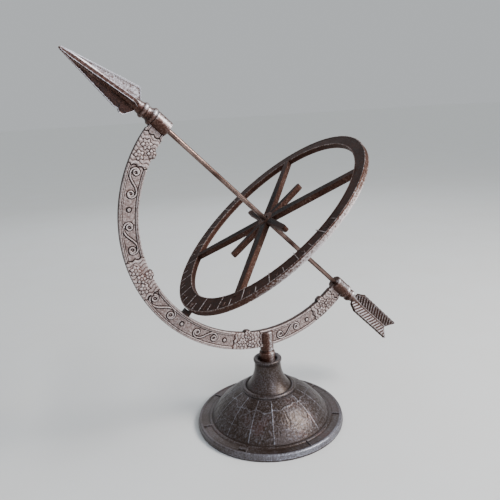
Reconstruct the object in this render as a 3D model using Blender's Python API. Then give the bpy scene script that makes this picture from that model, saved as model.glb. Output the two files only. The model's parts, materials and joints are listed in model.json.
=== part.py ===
"""Garden sundial: a cast-iron armillary on a round dome-shaped foot.

A half-ring meridian arc stands on the foot and holds a steel rod by a collar at each end.
The rod carries an arrowhead and an arrow tail, and it passes through the hub of the hour
dial, whose rim sits in a forked lug at the middle of the arc.

World frame: metres, +Z up, the origin at the middle of the foot's underside. The arc lies
in the XZ plane, with the arrowhead on the -X side.
"""

import math

import bmesh
import bpy
from mathutils import Matrix, Vector

MM = 0.001
GAP = 0.3 * MM                      # clearance between pieces that rest on each other

# Foot
FLANGE_RADIUS = 80 * MM
FLANGE_HEIGHT = 7.5 * MM
DOME_FOOT_RADIUS = 64.5 * MM
DOME_TOP_RADIUS = 29.5 * MM
DOME_TOP_HEIGHT = 38 * MM
NECK_HEIGHT = 73 * MM               # top of the lip
NECK_LIP_RADIUS = 15 * MM
CUP_RADIUS = 11.6 * MM              # recess inside the lip
CUP_DEPTH = 4 * MM
WEB_TOP = 54 * MM                   # floor of the spigot's bore
WEB_THICKNESS = 6 * MM
FOOT_WALL = 4.5 * MM
FOOT_SEGMENTS = 64

# Meridian arc
ARC_CENTRE_HEIGHT = 230 * MM
ARC_OUTER_RADIUS = 142.5 * MM
ARC_INNER_RADIUS = 124.5 * MM
ARC_THICKNESS = 7 * MM
ARC_RAIL = 3 * MM                   # width of the raised border along each edge
ARC_FIELD_DEPTH = 1 * MM            # how far the field lies below the border
ARC_STEPS = 84
LATITUDE = math.radians(45)         # slope of the rod
COLLAR_RADIUS = 7.8 * MM
COLLAR_LENGTH = 16.6 * MM
SPOT_FACE_RADIUS = 9.6 * MM         # the arc is faced off round each collar's outer end
SPOT_FACE_DEPTH = 4 * MM
BOSS_RADIUS = 6.2 * MM
BOSS_TOP = 104 * MM
BOSS_FOOT = 81 * MM
SHANK_RADIUS = 8.4 * MM             # the stem's shank, which stands in the neck's cup
SPIGOT_RADIUS = 5 * MM

# Flower clusters on the arc: start and end angle in degrees, seen from the front
FLOWER_SPANS = ((140.5, 153.5), (190.5, 207.0), (253.0, 266.0), (291.0, 309.5))
FLOWER_RISE = 0.7 * MM

# Hour dial
DIAL_OUTER_RADIUS = 119.5 * MM
DIAL_INNER_RADIUS = 104.3 * MM
DIAL_BAND_SHIFT = (2.6 * MM, -1.5 * MM, 0.0)    # the hour band is wider at the lug
DIAL_THICKNESS = 6 * MM
DIAL_SLIDE = 10 * MM                # the hub sits this far below the arc's centre
DIAL_LEAN = math.radians(5.6)       # brings the rim back up to the lug
DIAL_TWIST = math.radians(5)
STAR_TURN = math.radians(-5)        # of the star against the lug
LONG_POINT_WIDTHS = (9.5 * MM, 6.5 * MM)
SHORT_POINT_WIDTHS = (7.5 * MM, 5 * MM)
SHORT_POINT_LENGTH = 50 * MM
POINT_DEPTH = 6 * MM
HUB_RADIUS = 9.5 * MM
HUB_DEPTH = 7 * MM
LUG_WIDTH = 8 * MM
LUG_REACH = 7.6 * MM                # how far the lug stands in from the arc
LUG_HEIGHT = 11 * MM
LUG_CLEARANCE = 0.5 * MM

# Rod and arrow
ROD_RADIUS = 2.5 * MM
ROD_HALF_LENGTH = 157 * MM
BORE_CLEARANCE = 0.35 * MM
HUB_BORE_RADIUS = 3.75 * MM         # loose, so that the dial can lean
ARROW_SEAT = 142.2 * MM             # from the arc's centre to an arrow piece's inner face
HEAD_DROOP = math.radians(5.5)
HEAD_FACING = 0.9 * MM              # turned off the socket so that it seats square
HEAD_LENGTH = 93.5 * MM
HEAD_SHOULDER = 24 * MM             # from the seat to the widest place of the blades
HEAD_REACH = 14.5 * MM
HEAD_BLADES = 4
HEAD_BLADE = 3.4 * MM
TAIL_LENGTH = 87.5 * MM
TAIL_REACH = 12.8 * MM
TAIL_VANES = 3
TAIL_VANE = 3.2 * MM
TAIL_ROLL = math.radians(210)       # one vane points up, one down and one to the back
TAIL_SHAFT_RADIUS = 2.4 * MM
THREAD_DEPTH = 16 * MM

# Fastening under the neck
BOLT_SHANK_RADIUS = 2.9 * MM
BOLT_HOLE_RADIUS = 3.3 * MM
BOLT_HEAD_ACROSS_FLATS = 10 * MM
BOLT_HEAD_HEIGHT = 4 * MM
BOLT_ENGAGEMENT = 11 * MM
WASHER_RADIUS = 6 * MM
WASHER_THICKNESS = 1.6 * MM
SPRING_RADIUS = 5.4 * MM
SPRING_THICKNESS = 1.6 * MM


def clear_scene():
    """Remove every object that the scene starts with."""
    for old in list(bpy.data.objects):
        bpy.data.objects.remove(old, do_unlink=True)


def make_material(name, colour, roughness, metallic):
    """A Principled material of one colour (linear RGB)."""
    material = bpy.data.materials.new(name)
    material.use_nodes = True
    shader = material.node_tree.nodes["Principled BSDF"]
    shader.inputs["Base Color"].default_value = (*colour, 1.0)
    shader.inputs["Roughness"].default_value = roughness
    shader.inputs["Metallic"].default_value = metallic
    return material


def make_empty(name, matrix, parent=None):
    """An empty that carries a joint's frame; matrix is in world space."""
    empty = bpy.data.objects.new(name, None)
    bpy.context.collection.objects.link(empty)
    empty.parent = parent
    if parent is not None:
        empty.matrix_parent_inverse = parent.matrix_world.inverted()
    empty.matrix_world = matrix
    bpy.context.view_layer.update()
    return empty


def make_object(name, bm, material, parent=None):
    """Turn a bmesh into an object whose mesh is in its parent's frame."""
    bmesh.ops.remove_doubles(bm, verts=bm.verts, dist=0.00001)
    bmesh.ops.recalc_face_normals(bm, faces=bm.faces)
    mesh = bpy.data.meshes.new(name)
    bm.to_mesh(mesh)
    bm.free()
    mesh.shade_smooth()
    mesh.set_sharp_from_angle(angle=math.radians(35))
    mesh.materials.append(material)
    obj = bpy.data.objects.new(name, mesh)
    obj.parent = parent
    bpy.context.collection.objects.link(obj)
    return obj


def combine(target, tool_bm, operation, matrix=None):
    """Join a closed tool to the target, or cut it away, and keep the plain result."""
    tool = make_object("tool", tool_bm, target.data.materials[0], target.parent)
    if matrix is not None:
        tool.matrix_local = matrix
    modifier = target.modifiers.new("combine", "BOOLEAN")
    modifier.operation = operation
    modifier.solver = "EXACT"
    modifier.object = tool
    bpy.context.view_layer.update()
    graph = bpy.context.evaluated_depsgraph_get()
    result = bpy.data.meshes.new_from_object(target.evaluated_get(graph))
    target.modifiers.remove(modifier)
    spent = target.data
    target.data = result
    bpy.data.meshes.remove(spent)
    bpy.data.objects.remove(tool, do_unlink=True)


def loop_rings(bm, rings, closed):
    """Bridge rings of vertices in order; closed joins the last ring to the first."""
    count = len(rings) if closed else len(rings) - 1
    for i in range(count):
        low = rings[i]
        high = rings[(i + 1) % len(rings)]
        size = len(low)
        for k in range(size):
            corners = (low[k], low[(k + 1) % size], high[(k + 1) % size], high[k])
            bm.faces.new(corners)


def lathe(profile, segments, closed=False):
    """Turn (radius, height) points about Z. Open profiles get flat end caps."""
    bm = bmesh.new()
    rings = []
    for radius, height in profile:
        ring = []
        for k in range(segments):
            angle = 2 * math.pi * k / segments
            ring.append(bm.verts.new((radius * math.cos(angle), radius * math.sin(angle), height)))
        rings.append(ring)
    loop_rings(bm, rings, closed)
    if not closed:
        bm.faces.new(rings[0])
        bm.faces.new(rings[-1])
    return bm


def cylinder(radius, low, high, segments=32):
    """A plain closed cylinder about Z."""
    return lathe(((radius, low), (radius, high)), segments)


def prism(outline, thickness):
    """Extrude an outline of (x, z) points along Y, centred on the XZ plane."""
    bm = bmesh.new()
    front = [bm.verts.new((x, -thickness / 2, z)) for x, z in outline]
    back = [bm.verts.new((x, thickness / 2, z)) for x, z in outline]
    loop_rings(bm, [front, back], closed=False)
    bm.faces.new(front)
    bm.faces.new(back)
    return bm


def arc_points(centre, radius, start, end, steps):
    """Points on a circular stretch; angles in radians."""
    points = []
    for k in range(steps + 1):
        angle = start + (end - start) * k / steps
        points.append((centre[0] + radius * math.cos(angle), centre[1] + radius * math.sin(angle)))
    return points


def sector(inner, outer, start, end, thickness, steps):
    """A flat curved bar in the XZ plane, centred on the arc's centre."""
    outline = arc_points((0, 0), outer, start, end, steps)
    outline += arc_points((0, 0), inner, end, start, steps)
    return prism(outline, thickness)


def swept_section(section, start, end, steps):
    """Sweep a closed (radius, y) section round the arc's centre in the XZ plane."""
    bm = bmesh.new()
    rings = []
    for k in range(steps + 1):
        angle = start + (end - start) * k / steps
        ring = [bm.verts.new((r * math.cos(angle), y, r * math.sin(angle))) for r, y in section]
        rings.append(ring)
    loop_rings(bm, rings, closed=False)
    bm.faces.new(rings[0])
    bm.faces.new(rings[-1])
    return bm


def foot_profile():
    """The foot's wall as one closed outline: outside, cup and bore, then the hollow."""
    dome_rise = DOME_TOP_HEIGHT - FLANGE_HEIGHT
    spread = DOME_FOOT_RADIUS ** 2 - DOME_TOP_RADIUS ** 2
    centre = FLANGE_HEIGHT + (dome_rise ** 2 - spread) / (2 * dome_rise)
    dome_radius = math.hypot(DOME_FOOT_RADIUS, FLANGE_HEIGHT - centre)
    foot_angle = math.asin((FLANGE_HEIGHT - centre) / dome_radius)
    top_angle = math.asin((DOME_TOP_HEIGHT - centre) / dome_radius)

    outside = [(FLANGE_RADIUS - 1 * MM, 0.0)]
    outside += [(FLANGE_RADIUS, 1.2 * MM), (FLANGE_RADIUS, 3.2 * MM), (77.6 * MM, 6.2 * MM)]
    outside += [(76.2 * MM, FLANGE_HEIGHT), (DOME_FOOT_RADIUS + 1 * MM, FLANGE_HEIGHT)]
    outside += arc_points((0, centre), dome_radius, foot_angle, top_angle, 9)
    outside += arc_points((26.8 * MM, DOME_TOP_HEIGHT + 0.9 * MM), 2.6 * MM,
                          math.radians(-10), math.radians(150), 5)
    flare = 7
    for k in range(flare + 1):
        rise = k / flare
        radius = 14.2 * MM + 9.6 * MM * (1 - rise) ** 2.4
        outside.append((radius, 41.2 * MM + 26.8 * MM * rise))
    outside += [(NECK_LIP_RADIUS, 69.5 * MM), (NECK_LIP_RADIUS + 0.2 * MM, 71.5 * MM)]
    outside += [(NECK_LIP_RADIUS - 0.8 * MM, NECK_HEIGHT), (CUP_RADIUS + 0.6 * MM, NECK_HEIGHT)]
    cup_floor = NECK_HEIGHT - CUP_DEPTH
    bore = SPIGOT_RADIUS + GAP
    inside = [(CUP_RADIUS, NECK_HEIGHT - 0.8 * MM), (CUP_RADIUS, cup_floor), (bore, cup_floor)]
    inside += [(bore, WEB_TOP), (BOLT_HOLE_RADIUS, WEB_TOP)]
    inside += [(BOLT_HOLE_RADIUS, WEB_TOP - WEB_THICKNESS), (9.5 * MM, WEB_TOP - WEB_THICKNESS)]
    inside += [(11.5 * MM, 42 * MM), (17 * MM, 36 * MM)]
    inside += arc_points((0, centre), dome_radius - FOOT_WALL,
                         math.radians(62), foot_angle - math.radians(4), 7)
    inside += [(DOME_FOOT_RADIUS - 3 * MM, 0.0)]
    return outside + inside


def build_foot(material):
    """The foot casting: flange, dome, neck and cup, hollow underneath."""
    bm = lathe(foot_profile(), FOOT_SEGMENTS, closed=True)
    return make_object("base", bm, material)


def arc_section():
    """Section of the arc as (radius, y): two raised borders and a sunk field, both faces."""
    half = ARC_THICKNESS / 2
    sunk = half - ARC_FIELD_DEPTH
    inner = ARC_INNER_RADIUS
    outer = ARC_OUTER_RADIUS
    near = [(inner, -half), (inner + ARC_RAIL, -half), (inner + ARC_RAIL, -sunk),
            (outer - ARC_RAIL, -sunk), (outer - ARC_RAIL, -half), (outer, -half)]
    far = [(radius, -y) for radius, y in reversed(near)]
    return near + far


def arrow_direction_up():
    """Unit vector along the rod, towards the arrowhead."""
    return Vector((-math.cos(LATITUDE), 0.0, math.sin(LATITUDE)))


def rod_matrix():
    """World frame of the rod: origin at the arc's centre, Z towards the arrowhead."""
    along = arrow_direction_up()
    side = Vector((math.sin(LATITUDE), 0.0, math.cos(LATITUDE)))
    turn = Matrix((side, along.cross(side), along)).transposed().to_4x4()
    return Matrix.Translation((0.0, 0.0, ARC_CENTRE_HEIGHT)) @ turn


def dial_matrix():
    """World frame of the dial: origin at the hub's middle, Z square to the dial."""
    rod = rod_matrix()
    lean = Matrix.Rotation(DIAL_LEAN, 4, "Y") @ Matrix.Rotation(-DIAL_TWIST, 4, "X")
    return rod @ Matrix.Translation((0.0, 0.0, -DIAL_SLIDE)) @ lean


def add_flowers(arc):
    """Raised pads for the flower clusters, with a lump on the arc's inner edge."""
    middle = (ARC_OUTER_RADIUS + ARC_INNER_RADIUS) / 2
    for start, end in FLOWER_SPANS:
        pad = sector(ARC_INNER_RADIUS - 0.6 * MM, ARC_OUTER_RADIUS + 0.4 * MM,
                     math.radians(start), math.radians(end), ARC_THICKNESS + 2 * FLOWER_RISE, 8)
        combine(arc, pad, "UNION")
        angle = math.radians((start + end) / 2)
        centre = (middle - 7 * MM) * Vector((math.cos(angle), 0.0, math.sin(angle)))
        lump = cylinder(4.4 * MM, -ARC_THICKNESS / 2 + 0.4 * MM, ARC_THICKNESS / 2 - 0.4 * MM, 16)
        place = Matrix.Translation(centre) @ Matrix.Rotation(math.radians(90), 4, "X")
        combine(arc, lump, "UNION", place)


def add_end_collars(arc):
    """A plain collar on each end of the arc, bored for the rod."""
    rod = rod_matrix()
    rod.translation = (0.0, 0.0, 0.0)
    middle = (ARC_OUTER_RADIUS + ARC_INNER_RADIUS) / 2
    chamfer = 0.8 * MM
    half = COLLAR_LENGTH / 2
    profile = ((COLLAR_RADIUS - chamfer, -half), (COLLAR_RADIUS, -half + chamfer),
               (COLLAR_RADIUS, half - chamfer), (COLLAR_RADIUS - chamfer, half))
    for side in (1, -1):
        place = rod @ Matrix.Translation((0.0, 0.0, side * (middle + half + SPOT_FACE_DEPTH / 2)))
        spot_face = cylinder(SPOT_FACE_RADIUS, -SPOT_FACE_DEPTH / 2, SPOT_FACE_DEPTH / 2, 32)
        combine(arc, spot_face, "DIFFERENCE", place)
        place = rod @ Matrix.Translation((0.0, 0.0, side * middle))
        combine(arc, lathe(profile, 32), "UNION", place)
    for side in (1, -1):
        place = rod @ Matrix.Translation((0.0, 0.0, side * middle))
        hole = cylinder(ROD_RADIUS + BORE_CLEARANCE, -COLLAR_LENGTH, COLLAR_LENGTH, 24)
        combine(arc, hole, "DIFFERENCE", place)


def add_stem(arc):
    """The stem under the arc: boss, shank and a spigot tapped for the bolt."""
    foot = NECK_HEIGHT - CUP_DEPTH + GAP
    shoulder = 1 * MM
    profile = ((SPIGOT_RADIUS - 0.6 * MM, WEB_TOP + GAP), (SPIGOT_RADIUS, WEB_TOP + 1 * MM),
               (SPIGOT_RADIUS, foot), (SHANK_RADIUS, foot), (SHANK_RADIUS, BOSS_FOOT - shoulder),
               (SHANK_RADIUS - shoulder, BOSS_FOOT), (BOSS_RADIUS, BOSS_FOOT),
               (BOSS_RADIUS, BOSS_TOP - 1.5 * MM), (BOSS_RADIUS - 1.5 * MM, BOSS_TOP))
    place = Matrix.Translation((0.0, 0.0, -ARC_CENTRE_HEIGHT))
    combine(arc, lathe(profile, 32), "UNION", place)
    tapped = cylinder(BOLT_SHANK_RADIUS + GAP, WEB_TOP - 5 * MM, WEB_TOP + BOLT_ENGAGEMENT + 2 * MM, 24)
    combine(arc, tapped, "DIFFERENCE", place)


def add_lug(arc):
    """The forked lug at the arc's middle, slotted for the dial's rim."""
    inner = ARC_INNER_RADIUS - LUG_REACH
    outer = ARC_INNER_RADIUS + ARC_RAIL
    half = LUG_HEIGHT / 2
    outline = ((inner, -half + 1 * MM), (inner, half - 1 * MM), (outer, half), (outer, -half))
    block = prism(outline, LUG_WIDTH)
    mid_arc = Matrix.Rotation(math.radians(-225), 4, "Y")
    combine(arc, block, "UNION", mid_arc)
    slot = cylinder(DIAL_OUTER_RADIUS + LUG_CLEARANCE, -DIAL_THICKNESS / 2 - LUG_CLEARANCE,
                    DIAL_THICKNESS / 2 + LUG_CLEARANCE, 160)
    lowered = Matrix.Translation((0.0, 0.0, -ARC_CENTRE_HEIGHT)) @ dial_matrix()
    combine(arc, slot, "DIFFERENCE", lowered)


def build_arc(material, frame):
    """The meridian arc casting, in a frame at the arc's centre."""
    overlap = math.radians(1.5)
    start = math.pi - LATITUDE + overlap
    end = 2 * math.pi - LATITUDE - overlap
    arc = make_object("meridian_arc", swept_section(arc_section(), start, end, ARC_STEPS),
                      material, frame)
    add_flowers(arc)
    add_end_collars(arc)
    add_stem(arc)
    add_lug(arc)
    return arc


def tapered_point(length, widths, depth):
    """One point of the compass star along +X, tapering from the hub outwards."""
    outline = ((0, -widths[0] / 2), (length, -widths[1] / 2), (length, widths[1] / 2),
               (0, widths[0] / 2))
    bm = bmesh.new()
    low = [bm.verts.new((x, y, -depth / 2)) for x, y in outline]
    high = [bm.verts.new((x, y, depth / 2)) for x, y in outline]
    loop_rings(bm, [low, high], closed=False)
    bm.faces.new(low)
    bm.faces.new(high)
    return bm


def build_dial(material, frame):
    """The hour dial casting: hour band, eight-pointed star and hub."""
    half = DIAL_THICKNESS / 2
    steps = 112
    bm = cylinder(DIAL_OUTER_RADIUS, -half, half, steps)
    dial = make_object("hour_dial", bm, material, frame)
    opening = cylinder(DIAL_INNER_RADIUS, -DIAL_THICKNESS, DIAL_THICKNESS, steps)
    combine(dial, opening, "DIFFERENCE", Matrix.Translation(DIAL_BAND_SHIFT))
    hub_half = HUB_DEPTH / 2
    hub_profile = ((HUB_RADIUS - 1 * MM, -hub_half), (HUB_RADIUS, -hub_half + 1 * MM),
                   (HUB_RADIUS, hub_half - 1 * MM), (HUB_RADIUS - 1 * MM, hub_half))
    star = make_object("star", lathe(hub_profile, 32), material, frame)
    for k in range(4):
        turn = STAR_TURN + math.radians(45 + 90 * k)
        arm = tapered_point(DIAL_INNER_RADIUS + 5 * MM, LONG_POINT_WIDTHS, POINT_DEPTH - 0.4 * MM)
        combine(star, arm, "UNION", Matrix.Rotation(turn, 4, "Z"))
        turn = STAR_TURN + math.radians(90 * k)
        arm = tapered_point(SHORT_POINT_LENGTH, SHORT_POINT_WIDTHS, POINT_DEPTH - 0.8 * MM)
        combine(star, arm, "UNION", Matrix.Rotation(turn, 4, "Z"))
    star_bm = bmesh.new()
    star_bm.from_mesh(star.data)
    bpy.data.objects.remove(star, do_unlink=True)
    combine(dial, star_bm, "UNION")
    combine(dial, cylinder(HUB_BORE_RADIUS, -HUB_DEPTH, HUB_DEPTH, 32), "DIFFERENCE")
    return dial


def build_rod(material, frame):
    """The rod: a plain round bar with bevelled, threaded ends."""
    bevel = 0.6 * MM
    profile = ((ROD_RADIUS - bevel, -ROD_HALF_LENGTH), (ROD_RADIUS, -ROD_HALF_LENGTH + bevel),
               (ROD_RADIUS, ROD_HALF_LENGTH - bevel), (ROD_RADIUS - bevel, ROD_HALF_LENGTH))
    return make_object("gnomon_rod", lathe(profile, 24), material, frame)


def neck_rings(length, slim, ring_radius):
    """Turned profile of an arrow piece's socket: two rounded rings, then a slim waist."""
    first = length * 0.30
    second = length * 0.72
    profile = [(ring_radius - 1.4 * MM, 0.0)]
    profile += arc_points((ring_radius - 2.4 * MM, first * 0.5), 2.4 * MM,
                          math.radians(-60), math.radians(60), 5)
    profile += [(slim + 1.5 * MM, first + 0.6 * MM)]
    profile += arc_points((ring_radius - 3.2 * MM, second), 2.2 * MM,
                          math.radians(-65), math.radians(65), 5)
    profile += [(slim + 0.6 * MM, length)]
    return profile


def radial_fins(count, stations, start_height, end_height):
    """Evenly spaced fins about Z, lofted through the stations and closed by a point.

    Each station is (reach, half thickness, height at the fin's edge, height at its root).
    """
    bm = bmesh.new()
    rings = []
    for reach, half, edge_height, root_height in stations:
        ring = []
        root = half / math.tan(math.pi / count)
        for k in range(count):
            turn = Matrix.Rotation(2 * math.pi * k / count, 4, "Z")
            corners = ((reach, -half, edge_height), (reach, half, edge_height),
                       (root, half, root_height))
            for corner in corners:
                ring.append(bm.verts.new(turn @ Vector(corner)))
        rings.append(ring)
    loop_rings(bm, rings, closed=False)
    for ring, height in ((rings[0], start_height), (rings[-1], end_height)):
        apex = bm.verts.new((0.0, 0.0, height))
        for k in range(len(ring)):
            bm.faces.new((ring[k], ring[(k + 1) % len(ring)], apex))
    return bm


def build_head(material, frame):
    """The arrowhead: four blades in a cross on a turned socket, screwed on the rod."""
    socket_length = 16 * MM
    profile = neck_rings(socket_length, 5 * MM, 8.6 * MM)
    profile += [(4.6 * MM, HEAD_SHOULDER), (3.2 * MM, HEAD_SHOULDER + 22 * MM),
                (1.7 * MM, HEAD_LENGTH - 4 * MM), (0.9 * MM, HEAD_LENGTH)]
    droop = Matrix.Translation((0.0, 0.0, ARROW_SEAT - HEAD_FACING))
    droop = droop @ Matrix.Rotation(-HEAD_DROOP, 4, "Y")
    bm = lathe(profile, 24)
    bmesh.ops.transform(bm, matrix=droop, verts=bm.verts)
    head = make_object("arrowhead", bm, material, frame)
    shoulder = HEAD_SHOULDER
    half = HEAD_BLADE / 2
    tip = HEAD_LENGTH - 1.5 * MM
    stations = ((4 * MM, half, shoulder - 7 * MM, shoulder - 7 * MM),
                (HEAD_REACH - 0.8 * MM, half, shoulder - 0.6 * MM, shoulder - 0.6 * MM),
                (HEAD_REACH, half, shoulder + 1.2 * MM, shoulder + 1.2 * MM),
                (3.2 * MM, half, tip - 9 * MM, tip - 9 * MM), (1.4 * MM, 0.8 * MM, tip, tip))
    blades = radial_fins(HEAD_BLADES, stations, shoulder - 8 * MM, tip + 0.8 * MM)
    combine(head, blades, "UNION", droop)
    facing = cylinder(HEAD_REACH, ARROW_SEAT - 4 * MM, ARROW_SEAT, 32)
    combine(head, facing, "DIFFERENCE")
    thread = cylinder(ROD_RADIUS + BORE_CLEARANCE, ARROW_SEAT - 2 * MM,
                      ARROW_SEAT + THREAD_DEPTH, 24)
    combine(head, thread, "DIFFERENCE")
    return head


def build_tail(material, frame):
    """The arrow tail: three vanes round a turned socket and shaft, screwed on the rod."""
    socket_length = 15 * MM
    profile = neck_rings(socket_length, 4.4 * MM, 8.2 * MM)
    profile += [(3.2 * MM, socket_length + 7 * MM), (TAIL_SHAFT_RADIUS, socket_length + 20 * MM),
                (TAIL_SHAFT_RADIUS, TAIL_LENGTH - 5 * MM)]
    flip = Matrix.Translation((0.0, 0.0, -ARROW_SEAT)) @ Matrix.Rotation(math.pi, 4, "Y")
    bm = lathe(profile, 24)
    bmesh.ops.transform(bm, matrix=flip, verts=bm.verts)
    tail = make_object("arrow_tail", bm, material, frame)
    root = socket_length + 3 * MM
    half = TAIL_VANE / 2
    notch = TAIL_LENGTH - 9 * MM
    stations = ((TAIL_REACH - 5 * MM, half, root, root),
                (TAIL_REACH, half, root + 8 * MM, root + 8 * MM),
                (TAIL_REACH, half, TAIL_LENGTH, notch))
    vanes = radial_fins(TAIL_VANES, stations, root - 1 * MM, notch - 2 * MM)
    combine(tail, vanes, "UNION", flip @ Matrix.Rotation(TAIL_ROLL, 4, "Z"))
    thread = cylinder(ROD_RADIUS + BORE_CLEARANCE, -ARROW_SEAT - THREAD_DEPTH,
                      -ARROW_SEAT + 2 * MM, 24)
    combine(tail, thread, "DIFFERENCE")
    return tail


def build_bolt(material, frame):
    """The hexagon bolt that holds the stem down, screwed up from under the neck."""
    seat = WEB_TOP - WEB_THICKNESS - WASHER_THICKNESS - SPRING_THICKNESS - 3 * GAP
    top = WEB_TOP + BOLT_ENGAGEMENT
    bolt = make_object("stem_bolt", cylinder(BOLT_SHANK_RADIUS, seat - 1 * MM, top, 24),
                       material, frame)
    corner = BOLT_HEAD_ACROSS_FLATS / 2 / math.cos(math.radians(30))
    head = lathe(((corner - 0.5 * MM, seat - BOLT_HEAD_HEIGHT),
                  (corner, seat - BOLT_HEAD_HEIGHT + 0.4 * MM), (corner, seat)), 6)
    combine(bolt, head, "UNION")
    return bolt


def flat_ring(inner, outer, low, high, segments=32):
    """A plain washer shape about Z."""
    profile = ((outer, low), (outer, high), (inner, high), (inner, low))
    return lathe(profile, segments, closed=True)


def build_washers(material, foot_frame, arc_frame):
    """The plain washer under the neck's web, and the split spring washer under it."""
    top = WEB_TOP - WEB_THICKNESS - GAP
    low = top - WASHER_THICKNESS
    inner = BOLT_SHANK_RADIUS + GAP
    make_object("stem_washer", flat_ring(inner, WASHER_RADIUS, low, top), material, foot_frame)
    top = low - GAP
    low = top - SPRING_THICKNESS
    spring = make_object("stem_spring_washer", flat_ring(inner, SPRING_RADIUS, low, top),
                         material, arc_frame)
    slit = prism(((0, low - 1 * MM), (SPRING_RADIUS * 2, low - 1 * MM),
                  (SPRING_RADIUS * 2, top + 1 * MM), (0, top + 1 * MM)), 0.9 * MM)
    combine(spring, slit, "DIFFERENCE")


def main():
    """Build every piece in its place."""
    clear_scene()
    iron = make_material("brown_cast_iron", (0.075, 0.042, 0.030), 0.55, 0.55)
    iron_arc = make_material("brown_cast_iron_arc", (0.110, 0.075, 0.062), 0.60, 0.45)
    iron_dial = make_material("brown_cast_iron_dial", (0.050, 0.030, 0.024), 0.60, 0.50)
    steel = make_material("browned_steel", (0.270, 0.130, 0.090), 0.35, 0.85)
    zinc = make_material("zinc_plated_steel", (0.480, 0.480, 0.460), 0.35, 0.90)

    swivel = make_empty("swivel_axis", Matrix.Identity(4))
    arc_centre = make_empty("arc_centre", Matrix.Translation((0.0, 0.0, ARC_CENTRE_HEIGHT)), swivel)
    rod_axis = make_empty("rod_axis", rod_matrix(), arc_centre)
    dial_axis = make_empty("dial_axis", dial_matrix(), arc_centre)

    build_foot(iron)
    build_arc(iron_arc, arc_centre)
    build_dial(iron_dial, dial_axis)
    build_rod(steel, rod_axis)
    build_head(iron, rod_axis)
    build_tail(iron, rod_axis)
    build_bolt(zinc, swivel)
    build_washers(zinc, None, swivel)


main()
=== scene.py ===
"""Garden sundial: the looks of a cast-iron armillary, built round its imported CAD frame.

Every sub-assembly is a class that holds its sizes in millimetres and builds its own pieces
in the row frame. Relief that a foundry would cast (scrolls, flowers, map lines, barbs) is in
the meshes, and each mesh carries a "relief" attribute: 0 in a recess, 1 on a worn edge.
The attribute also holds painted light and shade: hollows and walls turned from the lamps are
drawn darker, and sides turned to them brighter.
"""

import json
import logging
import math
from dataclasses import dataclass, field
from enum import Enum
from typing import Optional

import bmesh
import bpy
import numpy as np
from mathutils import Matrix, Vector


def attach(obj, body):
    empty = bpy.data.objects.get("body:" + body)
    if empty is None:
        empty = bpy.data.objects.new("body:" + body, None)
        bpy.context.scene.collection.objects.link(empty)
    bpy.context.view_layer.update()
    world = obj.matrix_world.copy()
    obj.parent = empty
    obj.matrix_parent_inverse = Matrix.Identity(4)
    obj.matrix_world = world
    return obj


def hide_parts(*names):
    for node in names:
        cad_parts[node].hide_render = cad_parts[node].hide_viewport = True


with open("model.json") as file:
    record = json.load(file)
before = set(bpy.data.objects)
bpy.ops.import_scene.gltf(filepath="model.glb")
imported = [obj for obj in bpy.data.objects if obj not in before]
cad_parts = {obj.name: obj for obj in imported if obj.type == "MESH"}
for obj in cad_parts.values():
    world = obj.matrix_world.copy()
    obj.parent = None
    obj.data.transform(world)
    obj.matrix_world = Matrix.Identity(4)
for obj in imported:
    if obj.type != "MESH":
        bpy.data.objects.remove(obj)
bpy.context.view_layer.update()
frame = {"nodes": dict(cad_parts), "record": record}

MM = 0.001
# per-vertex tone attribute: relief and wear, plus painted light and shade
RELIEF = "relief"
MERGE_MM = 0.004                    # points closer than this are one point
NOISE_CELLS = 128                   # the noise repeats after this many
TINY = 1e-9                         # keeps a division by a length from failing
TONE_STOPS = (0.16, 0.42, 0.64, 0.92)               # recess, body, sheen, worn
PAINTED_HIGHLIGHT_SIDE = np.array([0.22, -0.86, 0.46])         # unit direction that turned pieces are drawn brighter towards, a painted highlight
PAINTED_HIGHLIGHT_FOCUS = 10                   # how narrow the painted highlight stripe is
LOG = logging.getLogger("sundial")


class Body(Enum):
    """The CAD bodies that the pieces ride on."""

    FOOT = "foot"
    ARC = "arc"
    ARROW = "arrow"
    DIAL = "dial"


class Slot(Enum):
    """The record's material slots."""

    FOOT_IRON = "foot_iron"
    ARC_IRON = "arc_iron"
    DIAL_IRON = "dial_iron"
    ROD_STEEL = "rod_steel"
    ARROW_IRON = "arrow_iron"
    ZINC_STEEL = "zinc_steel"


class Motif(Enum):
    """The shape that a row repeats."""

    BEAD = "GeometryNodeMeshUVSphere"
    BAR = "GeometryNodeMeshCube"


# ---------------------------------------------------------------- small helpers


def linear(hex_colour: str) -> tuple[float, float, float, float]:
    """Turn an sRGB hex colour such as "4a3029" into linear RGBA."""
    channels = [int(hex_colour[i:i + 2], 16) / 255 for i in (0, 2, 4)]
    lit = [c / 12.92 if c <= 0.04045 else ((c + 0.055) / 1.055) ** 2.4 for c in channels]
    return (lit[0], lit[1], lit[2], 1.0)


def add_node(tree: bpy.types.NodeTree, kind: str, settings: Optional[dict] = None,
             inputs: Optional[dict] = None) -> bpy.types.Node:
    """Add a node, set its properties, then fill or link its inputs.

    Args:
        tree: The node tree to add to.
        kind: The node's type name.
        settings: Property names and values.
        inputs: Socket names or indices, each with a value or a socket to link from.

    Returns:
        The new node.
    """
    node = tree.nodes.new(kind)
    for name, value in (settings or {}).items():
        setattr(node, name, value)
    for key, value in (inputs or {}).items():
        if isinstance(value, bpy.types.NodeSocket):
            tree.links.new(value, node.inputs[key])
        else:
            node.inputs[key].default_value = value
    return node


def arithmetic(tree: bpy.types.NodeTree, operation: str, *values: object,
               clamp: bool = False) -> bpy.types.NodeSocket:
    """Add a math node on those values or sockets and return its result."""
    settings = {"operation": operation, "use_clamp": clamp}
    return add_node(tree, "ShaderNodeMath", settings, dict(enumerate(values))).outputs[0]


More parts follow.
